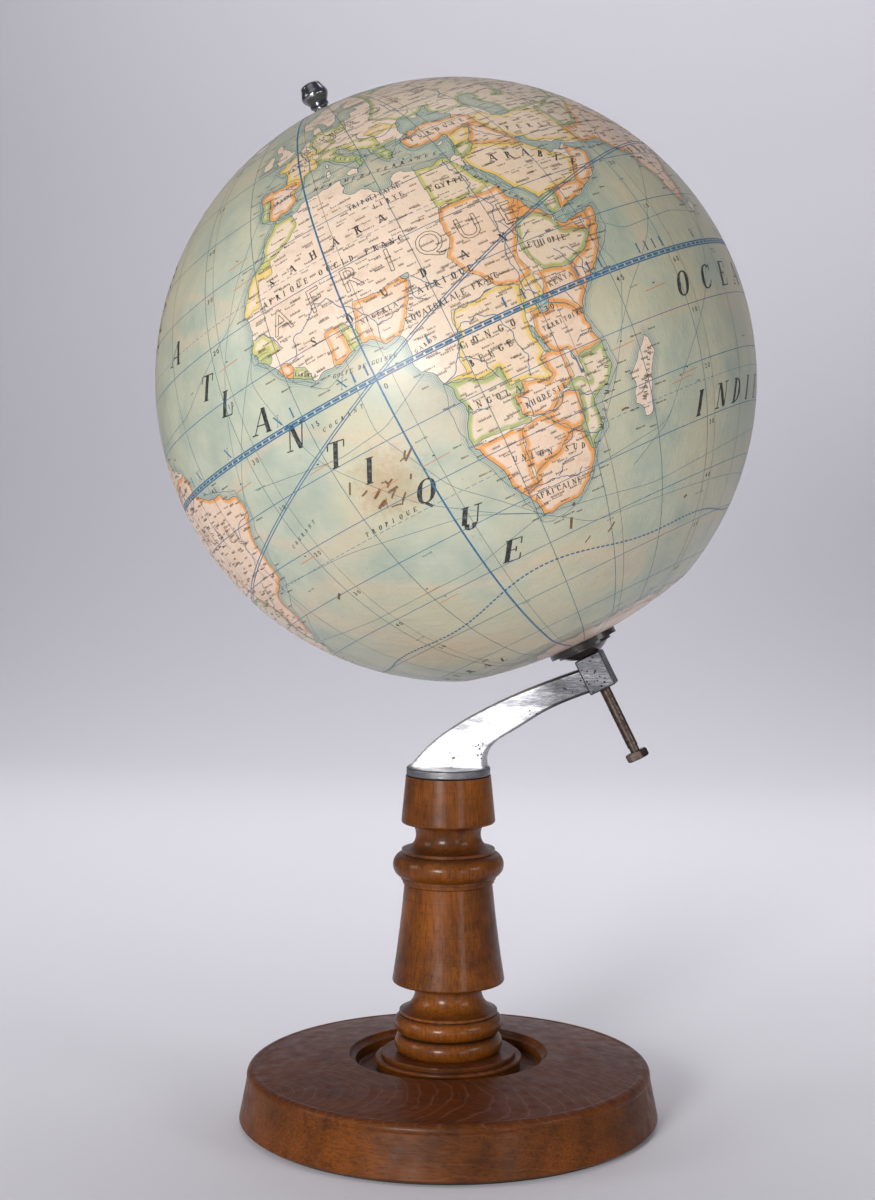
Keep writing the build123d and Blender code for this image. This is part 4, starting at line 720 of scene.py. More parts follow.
stream = add(tree, "MapRange", [add(tree, "Math", [add(tree, "Math", [current_band, 0.47],
    operation="SUBTRACT"), 0.0], operation="ABSOLUTE"), 0.006, 0.030, 0.42, 0.0])
sea = add(tree, "Mix", {0: stream, 6: sea, 7: "#d3bda2"}, data_type="RGBA")
shore = add(tree, "MapRange", [coast, -3.4, -0.2, 0.0, 0.35])
sea = add(tree, "Mix", {0: shore, 6: sea, 7: "#9fb0a0"}, data_type="RGBA")
ground = add(tree, "Mix", {0: add(tree, "MapRange", [mottle, 0.35, 0.68]), 6: "#efd9c6", 7: "#e6cfb8"},
    data_type="RGBA")
ground = add(tree, "Mix", {0: add(tree, "MapRange", [speck, 0.5, 0.75, 0.0, 0.25]), 6: ground,
    7: "#c3a48a"}, data_type="RGBA")
relief_tint = add(tree, "TexNoise", {"Vector": place, "Scale": 0.16, "Detail": 4.0, "Roughness": 0.65})
ground = add(tree, "Mix", {0: add(tree, "MapRange", [relief_tint, 0.54, 0.74, 0.0, 0.35]), 6: ground,
    7: "#c59a7c"}, data_type="RGBA")
rim_low = add(tree, "Math", [border, coast], operation="MINIMUM")
band = add(tree, "Math", [add(tree, "MapRange", [border, 0.0, 0.15]),
    add(tree, "MapRange", [rim_low, 1.3, 2.7, 0.92, 0.0])], operation="MULTIPLY")
flat_wash = add(tree, "MapRange", [border, 0.0, 0.15, 0.0, 0.10])
ground = add(tree, "Mix", {0: add(tree, "Math", [band, flat_wash], operation="MAXIMUM"), 6: ground,
    7: wash}, data_type="RGBA")
face = add(tree, "Mix", {0: add(tree, "MapRange", [coast, -0.05, 0.05]), 6: sea, 7: ground},
    data_type="RGBA")
line = add(tree, "MapRange", [add(tree, "Math", [coast, 0.0], operation="ABSOLUTE"), 0.14, 0.26, 0.9, 0.0])
face = add(tree, "Mix", {0: line, 6: face, 7: "#2f5866"}, data_type="RGBA")
for offset, strength in ((0.95, 0.6), (1.75, 0.5), (2.65, 0.4), (3.7, 0.3)):
    ripple = add(tree, "Math", [add(tree, "Math", [coast, offset], operation="ADD"), 0.0],
        operation="ABSOLUTE")
    face = add(tree, "Mix", {0: add(tree, "MapRange", [ripple, 0.10, 0.24, strength, 0.0]), 6: face,
        7: "#44748a"}, data_type="RGBA")
foxing = add(tree, "TexNoise", {"Vector": place, "Scale": 0.22, "Detail": 5.0, "Roughness": 0.75})
face = add(tree, "Mix", {0: add(tree, "MapRange", [foxing, 0.64, 0.78, 0.0, 0.55]), 6: face, 7: "#8a6a42"},
    data_type="RGBA")
rubbed = add(tree, "TexNoise", {"Vector": millimetres(tree, (0.05, 0.05, 0.08)), "Scale": 1.0,
    "Detail": 5.0, "Roughness": 0.7})
face = add(tree, "Mix", {0: add(tree, "MapRange", [rubbed, 0.62, 0.80, 0.0, 0.35]), 6: face, 7: "#d9cdb0"},
    data_type="RGBA")
worn_spot = Vector(tuple(globe_centre + globe_radius * direction(-4.5, -17.0)))
worn = add(tree, "VectorMath", {0: place, 1: worn_spot}, operation="DISTANCE").outputs["Value"]
worn = add(tree, "Math", [worn, add(tree, "Math", [foxing, 46.0], operation="MULTIPLY")], operation="ADD")
face = add(tree, "Mix", {0: add(tree, "MapRange", [worn, 30.0, 46.0, 0.45, 0.0]), 6: face, 7: "#a3814f"},
    data_type="RGBA")
aged = add(tree, "TexNoise", {"Vector": place, "Scale": 0.007})
face = add(tree, "Mix", {0: add(tree, "MapRange", [aged, 0.3, 0.7, 0.0, 0.30]), 6: face, 7: "#b7a37c"},
    data_type="RGBA", blend_type="MULTIPLY")
wrinkle = add(tree, "TexNoise", {"Vector": millimetres(tree, (0.06, 0.12, 0.06)), "Scale": 1.0,
    "Detail": 4.0, "Roughness": 0.6})
give(tree, shader, {
    "Base Color": face, "Roughness": add(tree, "MapRange", [mottle, 0.3, 0.7, 0.40, 0.54]),
    "Coat Weight": 0.30, "Coat Roughness": 0.30,
    "Normal": add(tree, "Bump", {"Height": add(tree, "Math",
        [add(tree, "Math", [wrinkle, 2.0], operation="MULTIPLY"),
        add(tree, "Math", [speck, 0.15], operation="MULTIPLY")], operation="ADD"),
        "Distance": 0.35 / 1000})})


def paper_piece(name, first_row, last_row, first_column, last_column, node):
    """One printed sheet: a slice of the grid as a mesh that carries its print as attributes."""
    rows = np.arange(first_row, last_row + 1)
    columns = np.arange(first_column, last_column + 1)
    picked = (rows[:, None] * (column_count + 1) + columns[None, :]).reshape(-1)
    wide = len(columns)
    corner = (np.arange(len(rows) - 1)[:, None] * wide + np.arange(wide - 1)[None, :]).reshape(-1)
    quads = np.stack([corner, corner + 1, corner + wide + 1, corner + wide], 1)
    mesh = bpy.data.meshes.new(name)
    mesh.from_pydata(on_globe(grid_units[picked], paper_inset).tolist(), [], quads.tolist())
    for label, values in (("coast", coast_distance), ("border", border_distance)):
        mesh.attributes.new(label, "FLOAT", "POINT").data.foreach_set("value", values[picked].astype("f"))
    mesh.attributes.new("wash", "FLOAT_COLOR", "POINT").data.foreach_set(
        "color", wash_colour[picked].astype("f").reshape(-1))
    mesh.shade_smooth()
    mesh.materials.append(map_paper)
    sheet = bpy.data.objects.new(name, mesh)
    bpy.context.collection.objects.link(sheet)
    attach(sheet, "globe")
    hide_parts(node)


calotte_latitude = 71       # the tips of the gores end here, under the calottes
bush_angle = 1.5            # half the angle of the hole for the axle, in degrees
calotte_row = int(round((90 - calotte_latitude) / 180 * row_count))
bush_row = int(round(bush_angle / 180 * row_count))
gore_columns = column_count // 12
for number in range(12):
    paper_piece(f"printed_gore_{number + 1:02d}", calotte_row, row_count - calotte_row,
                number * gore_columns, (number + 1) * gore_columns, f"map_gore_{number + 1:02d}")
paper_piece("printed_calotte_south", bush_row, calotte_row, 0, column_count, "south_calotte")
paper_piece("printed_calotte_north", row_count - calotte_row, row_count - bush_row, 0, column_count,
            "north_calotte")

# ---- line work on the map ------------------------------------------------------------
# The fine lines of the print: graticule, rivers, borders, sea routes and tropics, each a
# flat stroke of printing ink on the paper.
strokes = {"blue": ([], []), "grey": ([], []), "black": ([], []), "orange": ([], []), "brown": ([], []),
           "scuff": ([], [])}

stroke_step = 1.6           # a stroke bends at stations about this far apart, in mm


def rule(ink, line, width, dash=0.0, gap=0.0):
    """Draws a line along longitude and latitude points, width in mm, dashed if dash is given."""
    units = direction(line[:, 0], line[:, 1])
    steps = np.linalg.norm(np.diff(units, axis=0), axis=1) * globe_radius
    walked = np.concatenate([[0.0], np.cumsum(steps)])
    if walked[-1] < 0.2:
        return
    spans = [(0.0, walked[-1])]
    if dash:
        spans = [(start, min(start + dash, walked[-1])) for start in np.arange(0, walked[-1], dash + gap)]
    vertices, quads = strokes[ink]
    for start, end in spans:
        count = max(int((end - start) / stroke_step), 1)
        stations = np.linspace(start, end, count + 1)
        spots = np.stack([np.interp(stations, walked, units[:, axis]) for axis in range(3)], 1)
        spots /= np.linalg.norm(spots, axis=1)[:, None]
        along = np.gradient(spots, axis=0) if count > 1 else np.repeat((spots[1:] - spots[:1]), 2, axis=0)
        side = np.cross(along, spots)
        side /= np.maximum(np.linalg.norm(side, axis=1), 1e-12)[:, None]
        half = side * width / 2 / globe_radius
        base = len(vertices)
        for left, right in zip(spots - half, spots + half):
            vertices.append(left)
            vertices.append(right)
        quads.extend((base + 2 * i, base + 2 * i + 1, base + 2 * i + 3, base + 2 * i + 2)
                     for i in range(count))


def parallel(latitude, first=-180, last=180):
    """Points along a parallel."""
    return np.array([(longitude, latitude) for longitude in np.arange(first, last + 0.1, 1.0)], float)


def meridian(longitude, low=-80, high=80):
    """Points along a meridian counted from the map's own zero."""
    latitudes = np.arange(low, high + 0.1, 1.0)
    return np.array([(longitude + zero_meridian, latitude) for latitude in latitudes], float)


for longitude in range(-180, 180, 15):
    rule("blue" if longitude == 0 else "grey", meridian(longitude), 0.95 if longitude == 0 else 0.38)
for latitude in range(-80, 90, 10):
    if latitude:
        rule("blue", parallel(latitude), 0.36)
for latitude in (-0.42, 0.42):
    rule("blue", parallel(latitude), 0.70)
tropic, polar_circle = 23.45, 66.5
for latitude in (-polar_circle, -tropic, tropic, polar_circle):
    rule("blue", parallel(latitude), 0.26, 2.4, 1.4)
slope = math.tan(math.radians(tropic))
ecliptic = np.array([(turn + zero_meridian, math.degrees(math.atan(slope * math.sin(math.radians(turn)))))
                     for turn in np.arange(-180, 180.1, 1.0)])
for shift in (-0.24, 0.24):
    rule("blue", ecliptic + np.array([0.0, shift]), 0.50)
for wash, line in territory_lines:
    rule("grey", line, 0.30)
rivers = [
    """31.3 31.2 31 29 32.7 26 33 24 31.2 22 33.3 19.5 34 18 32.8 16 32.3 13.5 32.6 11.5 31.5 9.5 31.7 5
        31.3 2.2 33.2 0.5""",
    "32.5 15.6 34.5 12 35.5 10.5 37.3 11.8",
    "6.3 4.6 6.5 7.8 4.6 11.3 3.3 13 0 16.5 -3 16.7 -6 13.5 -8.5 11.5 -10 9.5",
    "6.5 7.8 9 7.7 12 9", "-16 16.3 -14 16.6 -12 14.8 -11 12.5",
    "12.4 -6 15.2 -4.4 17.5 -0.8 19 1.8 22 2.2 25 0.6 26 -4 27 -8 26 -11",
    "17.5 -0.8 18.3 2.5 19 4.3 22.6 4.1 26.5 4.9",
    "16 -3.2 18 -3.8 20 -5.5 21 -9",
    "35.9 -18.4 33.3 -16.5 30.5 -15.6 27 -17.8 23.5 -17.5 23 -13.5 24.2 -11.8",
    "16.6 -28.6 19 -28.8 22 -28.8 24.5 -29 27.5 -30.3 29 -29", "24 -28.8 27 -26.8 30 -26.5",
    "35.5 -24.3 32.3 -24 29.5 -22.2 27 -24",
    "13.6 -12.2 17 -13", "15.2 12.8 17 10.5 19 8.5", "14.6 12.4 14 10 16 7.8",
    "46 -0.2 42 2.5 40.5 5.5 39.5 7", "42.5 0.2 43.5 3.5 42 6.5",
    "39.2 -4.7 37.5 -0.4", "39.5 -8 36 -9", "44 -21.5 46.5 -20",
    "48.5 30 46.5 31.5 44 33.2 42 35.5 39.5 37.5", "47.4 31 45.5 33.5 43 36.5 41 38",
    "29.7 45.2 28 45.4 26 43.9 22.5 44 19 45.2 19 47.7 16.5 48.2 12 48.8 9 48", "4 52 7 51 8 49 7.6 47.6",
    "10 54 13 51", "31 46.5 35 48.5 31 51 31 55",
    "47.5 46 45 48.7 49 53 44 56.3 36 57", "67.5 24 70.5 28.5 73 33 78 34", "88 22 85 25.5 79 28.5",
    "121 31.5 115 30 107 29.5 102 26",
    "-50 0 -55 -2 -60 -3.2 -67 -2.5 -73 -4 -76 -8", "-34.7 -8.5 -38 -9 -42 -11.5 -44.5 -17 -45.5 -20",
    "-58.4 -34 -57.5 -30 -54.5 -25 -48 -20",
    "-48.5 -1.5 -49.5 -6 -48.5 -12", "-90 29.5 -91 34 -90 39 -94 45", "-90 38.8 -96 41 -104 47.5 -111 46",
    "-60 8.8 -65 7.8 -67.5 4",
    "3.4 51.5 5 43.4", "-2 47.2 1 47.8 4 46", "-9 38.7 -5 39.8 -1.5 40.4", "0.6 40.8 -3.5 42.7",
    "139 -35.3 142 -34 147 -30",
]
for words in rivers:
    rule("blue", roughened(outline(words), False, 0.6, 0.12), 0.42)
crossings = [
    "-17.5 14.7 -25 5 -32 -4 -35 -8", "-17.5 14.7 -20 10 -14 -8 -2 -22 10 -30 18.3 -33.9",
    "-10 38.5 -18 28 -25 15 -31 0 -34 -8",
    "18.3 -33.9 5 -28 -20 -24 -43 -23", "32 -30 50 -28 57 -20 70 -8 80 6", "43 -12 50 -4 60 4 72 18",
    "45 12 55 6 70 7 80 6",
    "45 12 50 0 45 -10 40 -18 33 -27", "18 -34 45 -38 80 -36 115 -34", "-6 36 -20 22 -40 12 -60 11",
    "3 6 -6 2 -14 8 -17.5 14.7",
    "-1 5 -2 -8 5 -22 18 -33.9", "-5 48 -9.5 43 -10 38 -7 36", "-6 36 3 38 11 37.4 20 34.5 32 31.6",
    "18 -34 0 -38 -30 -38 -55 -36",
    "10 -3 0 -8 -10 -9 -30 -6", "18 -34 28 -40 60 -42 110 -45", "57 -20 50 -28 40 -33",
    "-43 -23 -45 -30 -55 -36",
]
for words in crossings:
    points = outline(words)
    fine = np.linspace(0, len(points) - 1, 60)
    curve = np.stack([np.interp(fine, np.arange(len(points)), points[:, axis]) for axis in (0, 1)], 1)
    for _ in range(6):
        curve[1:-1] = (curve[:-2] + 2 * curve[1:-1] + curve[2:]) / 4
    rule("grey", curve, 0.26)
ice_limit = np.array([(longitude, -47.5 + 2.5 * math.sin(math.radians(3 * longitude + 40))
                       + 1.2 * math.sin(math.radians(7 * longitude)))
                      for longitude in np.arange(-180, 180.1, 1.0)])
rule("blue", ice_limit, 0.95, 1.9, 0.9)
for number in range(12):
    edge = column_longitudes[number * gore_columns]
    latitudes = np.arange(-calotte_latitude, calotte_latitude + 0.1, 1.0)
    rule("brown", np.array([(edge, latitude) for latitude in latitudes]), 0.22)
for latitude in (-calotte_latitude, calotte_latitude):
    rule("brown", parallel(latitude), 0.30)
# Small islands: an orange bar under a black dot.
islands = ((5, -15.8), (-14.4, -7.9), (-5.5, -15.9), (6.6, 0.6), (57.6, -20.2), (55.4, -21.1), (-24, 16),
           (-16, 28.3), (-17, 32.8), (-12, -37.1), (55.5, -4.6), (44, -11.8), (-29.3, -20.5), (-10, -40.3),
           (-32.4, -3.8))
for place_lon, place_lat in islands:
    rule("orange", np.array([(place_lon - 2.6, place_lat - 0.9), (place_lon + 2.8, place_lat - 0.7)]), 0.38)
    rule("black", np.array([(place_lon - 0.25, place_lat), (place_lon + 0.25, place_lat)]), 0.6)

# Rubs and scratches where something sharp has torn the varnish and browned the paper.
for scar in range(26):
    spot = np.array([-4.0, -17.5]) + luck.normal(0, 1, 2) * (3.2, 2.6) if scar < 17 else \
        np.array([luck.uniform(-40, 60), luck.uniform(-45, -10)])
    slant = math.radians(luck.normal(35, 25))
    reach = luck.uniform(0.5, 1.4) * np.array([math.cos(slant), math.sin(slant)])
    rule("scuff", np.array([spot - reach, spot, spot + reach + luck.normal(0, 0.15, 2)]),
        luck.uniform(0.4, 1.5))

# ---- lettering on the map --------------------------------------------------------------
# Generic geographic words, hour numerals and degree numbers, printed in black and blue,
# and rows of tiny unreadable marks where the real sheet has small place names.

# Capitals as an engraver cuts them: heavy stems, hairlines and flat thin serifs.  A stroke
# is "l" x0 y0 x1 y1 width, or "c" centre radii from-angle to-angle for a swelling curve.
stem, hair = 0.185, 0.05
cap_height = 0.70           # the built-in face has capitals this tall, so the engraved ones match


def feet(*places):
    """Flat serifs centred on places along the letter."""
    return [("l", x - 0.14, y, x + 0.14, y, hair) for x, y in places]


engraved = {
    "A": [("l", 0.02, 0, 0.35, 1, hair), ("l", 0.36, 1, 0.68, 0, stem), ("l", 0.13, 0.33, 0.58, 0.33, hair)]
    + feet((0.02, 0), (0.68, 0)),
    "B": [("l", 0.14, 0, 0.14, 1, stem), ("c", 0.16, 0.76, 0.32, 0.24, -90, 90),
        ("c", 0.16, 0.26, 0.40, 0.26, -90, 90)]
    + feet((0.10, 0), (0.10, 1)),
    "C": [("c", 0.40, 0.5, 0.36, 0.5, 48, 312), ("l", 0.68, 0.70, 0.68, 1.0, hair),
        ("l", 0.64, 0.13, 0.70, 0.30, hair)],
    "D": [("l", 0.14, 0, 0.14, 1, stem), ("c", 0.16, 0.5, 0.48, 0.5, -90, 90)] + feet((0.10, 0), (0.10, 1)),
    "E": [("l", 0.14, 0, 0.14, 1, stem), ("l", 0.0, 1, 0.58, 1, hair), ("l", 0.0, 0, 0.60, 0, hair),
          ("l", 0.14, 0.52, 0.42, 0.52, hair), ("l", 0.58, 1, 0.58, 0.72, hair),
          ("l", 0.60, 0, 0.60, 0.28, hair),
          ("l", 0.42, 0.40, 0.42, 0.64, hair)],
    "F": [("l", 0.14, 0, 0.14, 1, stem), ("l", 0.0, 1, 0.58, 1, hair), ("l", 0.14, 0.52, 0.42, 0.52, hair),
          ("l", 0.58, 1, 0.58, 0.72, hair), ("l", 0.42, 0.40, 0.42, 0.64, hair)] + feet((0.14, 0)),
    "G": [("c", 0.40, 0.5, 0.36, 0.5, 48, 312), ("l", 0.66, 0.08, 0.66, 0.42, stem),
        ("l", 0.68, 0.70, 0.68, 1.0, hair)]
    + feet((0.66, 0.42)),
    "H": [("l", 0.12, 0, 0.12, 1, stem), ("l", 0.60, 0, 0.60, 1, stem), ("l", 0.12, 0.51, 0.60, 0.51, hair)]
    + feet((0.12, 0), (0.12, 1), (0.60, 0), (0.60, 1)),
    "I": [("l", 0.20, 0, 0.20, 1, stem)] + feet((0.20, 0), (0.20, 1)),
    "J": [("l", 0.34, 0.2, 0.34, 1, stem), ("c", 0.18, 0.2, 0.16, 0.2, 180, 360)] + feet((0.34, 1)),
    "K": [("l", 0.14, 0, 0.14, 1, stem), ("l", 0.16, 0.38, 0.60, 1, hair), ("l", 0.32, 0.58, 0.66, 0, stem)]
    + feet((0.12, 0), (0.12, 1), (0.60, 1), (0.66, 0)),
    "L": [("l", 0.14, 0, 0.14, 1, stem), ("l", 0.0, 0, 0.56, 0, hair),
        ("l", 0.56, 0, 0.56, 0.32, hair)] + feet((0.14, 1)),
    "M": [("l", 0.10, 0, 0.10, 1, hair), ("l", 0.14, 1, 0.42, 0.02, stem), ("l", 0.42, 0, 0.72, 1, hair),
          ("l", 0.76, 0, 0.76, 1, stem)] + feet((0.10, 0), (0.08, 1), (0.76, 0), (0.80, 1)),
    "N": [("l", 0.10, 0, 0.10, 1, hair), ("l", 0.14, 1, 0.58, 0, stem), ("l", 0.62, 0, 0.62, 1, hair)]
    + feet((0.10, 0), (0.08, 1), (0.62, 1)),
    "O": [("c", 0.38, 0.5, 0.34, 0.5, 0, 360)],
    "P": [("l", 0.14, 0, 0.14, 1, stem), ("c", 0.16, 0.73, 0.38, 0.27, -90, 90)] + feet((0.14, 0),
        (0.10, 1)),
    "Q": [("c", 0.38, 0.5, 0.34, 0.5, 0, 360), ("l", 0.36, 0.02, 0.62, -0.22, 0.10)],
    "R": [("l", 0.14, 0, 0.14, 1, stem), ("c", 0.16, 0.75, 0.36, 0.25, -90, 90),
        ("l", 0.36, 0.50, 0.62, 0, stem)]
    + feet((0.12, 0), (0.10, 1), (0.66, 0)),
    "S": [("l", 0.58, 0.70, 0.58, 1, hair), ("l", 0.52, 0.93, 0.36, 0.985, hair),
        ("l", 0.36, 0.985, 0.17, 0.88, 0.07),
          ("l", 0.18, 0.90, 0.14, 0.74, 0.12), ("l", 0.14, 0.76, 0.54, 0.32, stem),
          ("l", 0.54, 0.34, 0.52, 0.12, 0.12),
          ("l", 0.53, 0.13, 0.34, 0.015, 0.06), ("l", 0.34, 0.015, 0.12, 0.10, hair),
          ("l", 0.08, 0, 0.08, 0.30, hair)],
    "T": [("l", 0.34, 0, 0.34, 1, stem), ("l", 0.02, 1, 0.66, 1, hair), ("l", 0.02, 1, 0.02, 0.72, hair),
          ("l", 0.66, 1, 0.66, 0.72, hair)] + feet((0.34, 0)),
    "U": [("l", 0.14, 0.26, 0.14, 1, stem), ("l", 0.60, 0.26, 0.60, 1, hair),
        ("c", 0.37, 0.27, 0.23, 0.27, 180, 360)]
    + feet((0.14, 1), (0.60, 1)),
    "V": [("l", 0.06, 1, 0.36, 0, stem), ("l", 0.38, 0, 0.66, 1, hair)] + feet((0.06, 1), (0.66, 1)),
    "X": [("l", 0.06, 1, 0.60, 0, stem), ("l", 0.04, 0, 0.60, 1, hair)] + feet((0.06, 1), (0.62, 1),
        (0.04, 0), (0.62, 0)),
    "Y": [("l", 0.06, 1, 0.34, 0.45, stem), ("l", 0.36, 0.45, 0.62, 1, hair),
        ("l", 0.35, 0, 0.35, 0.48, stem)]
    + feet((0.06, 1), (0.62, 1), (0.35, 0)),
    "Z": [("l", 0.04, 1, 0.60, 1, hair), ("l", 0.60, 1, 0.06, 0, stem), ("l", 0.04, 0, 0.60, 0, hair),
          ("l", 0.04, 1, 0.04, 0.74, hair), ("l", 0.60, 0, 0.60, 0.28, hair)],
}
letter_shapes = {}


def letter_shape(letter, slanted, hollow, least):
    """Flat mesh of one capital 0.7 units tall, as points and faces, cut small enough to bend."""
    key = (letter, slanted, hollow, least)
    if key in letter_shapes:
        return letter_shapes[key]
    if letter in engraved and not hollow:
        points, faces = [], []
        for kind, *shape in engraved[letter]:
            if kind == "l":
                x0, y0, x1, y1, width = shape
                line = np.linspace((x0, y0), (x1, y1), 5)
                widths = np.full(5, max(width, least))
            else:
                x, y, wide, tall, start, end = shape
                bearing = np.radians(np.linspace(start, end, 25))
                widths = max(hair, least) + (stem - hair) * np.abs(np.cos(bearing)) ** 1.6
                line = np.stack([x + (wide - widths / 2) * np.cos(bearing),
                                 y + (tall - hair / 2) * np.sin(bearing)], 1)
            run = np.gradient(line, axis=0)
            side = np.stack([-run[:, 1], run[:, 0]], 1) / np.linalg.norm(run, axis=1)[:, None]
            if kind == "l" and abs(y1 - y0) > 0.5 and abs(x1 - x0) > 0.05:
                side = np.tile((-1.0, 0.0), (5, 1)) * np.sign(y1 - y0)
            base = len(points)
            for middle, across, width in zip(line, side, widths):
                points += [middle - across * width / 2, middle + across * width / 2]
            faces += [[base + 2 * i, base + 2 * i + 1, base + 2 * i + 3, base + 2 * i + 2]
                      for i in range(len(line) - 1)]
        points = (np.array(points) - (0.36, 0.0)) * cap_height
        points[:, 0] += (points[:, 1] - cap_height / 2) * (0.32 if slanted else 0.0)
        letter_shapes[key] = points, faces, []
        return letter_shapes[key]
    text = bpy.data.curves.new("letter", "FONT")
    text.body = letter
    text.shear = 0.35 if slanted else 0.0
    text.align_x = "CENTER"
    text.fill_mode = "NONE" if hollow else "BOTH"
    text.resolution_u = 3
    text.offset = 0.0 if hollow else 0.012
    holder = bpy.data.objects.new("letter", text)
    bpy.context.collection.objects.link(holder)
    mesh = bpy.data.meshes.new_from_object(holder.evaluated_get(bpy.context.evaluated_depsgraph_get()))
    form = bmesh.new()
    form.from_mesh(mesh)
    for axis in range(2) if not hollow else ():
        for cut in np.arange(-0.6, 1.01, 0.2):
            spot, normal = [0, 0, 0], [0, 0, 0]
            spot[axis], normal[axis] = cut, 1
            bmesh.ops.bisect_plane(form, geom=form.verts[:] + form.edges[:] + form.faces[:],
                                   plane_co=spot, plane_no=normal)
    form.verts.ensure_lookup_table()
    points = np.array([vertex.co[:2] for vertex in form.verts])
    faces = [[vertex.index for vertex in face.verts] for face in form.faces]
    edges = [[vertex.index for vertex in edge.verts] for edge in form.edges]
    form.free()
    bpy.data.objects.remove(holder)
    bpy.data.curves.remove(text)
    bpy.data.meshes.remove(mesh)
    letter_shapes[key] = points, faces, edges
    return letter_shapes[key]


def print_letter(ink, letter, longitude, latitude, tall, turn_degrees=0.0, slanted=False, hollow=0.0,
                 stretch=1.0):
    """Prints one letter, tall in mm, at a place on the globe; hollow gives the width of its outline."""
    points, faces, edges = letter_shape(letter, slanted, bool(hollow), 0.09 if tall < 5 else 0.0)
    if not len(points):
        return
    here = direction(longitude, latitude)
    east = np.cross(north, here)
    east /= np.linalg.norm(east)
    upward = np.cross(here, east)
    turn = math.radians(turn_degrees)
    right = east * math.cos(turn) + upward * math.sin(turn)
    rise = upward * math.cos(turn) - east * math.sin(turn)
    scale = tall / cap_height / globe_radius

    def lay(flat):
        spots = here + flat[:, :1] * scale * stretch * right + (flat[:, 1:] - cap_height / 2) * scale * rise
        return spots / np.linalg.norm(spots, axis=1)[:, None]

    vertices, quads = strokes[ink]
    if not hollow:
        base = len(vertices)
        vertices.extend(lay(points))
        quads.extend([base + index for index in face] for face in faces)
        return
    for first, second in edges:
        start, end = points[first], points[second]
        run = end - start
        length = np.linalg.norm(run)
        if length < 1e-5:
            continue
        across = np.array([-run[1], run[0]]) / length * hollow / 2 / (tall / cap_height)
        pieces = max(int(length * tall / cap_height / 2.0), 1)
        for piece in range(pieces):
            near, far = start + run * piece / pieces, start + run * (piece + 1) / pieces
            base = len(vertices)
            vertices.extend(lay(np.array([near - across, near + across, far + across, far - across])))
            quads.append([base, base + 1, base + 2, base + 3])


def print_word(ink, word, route, tall, **style):
    """Spreads a word evenly along a route of longitude and latitude points."""
    route = np.array(route, float)
    steps = np.diff(route, axis=0) * (np.cos(np.radians(route[:-1, 1]))[:, None] ** [1, 0])
    walked = np.concatenate([[0.0], np.cumsum(np.hypot(steps[:, 0], steps[:, 1]))])
    for index, letter in enumerate(word):
        reach = walked[-1] * index / max(len(word) - 1, 1)
        spot, before, after = [np.array([np.interp(where, walked, route[:, axis]) for axis in (0, 1)])
                               for where in (reach, max(reach - 2, 0), min(reach + 2, walked[-1]))]
        slope = (after - before) * (math.cos(math.radians(spot[1])), 1)
        lean = math.degrees(math.atan2(slope[1], slope[0]))
        print_letter(ink, letter, spot[0], spot[1], tall, turn_degrees=lean, **style)


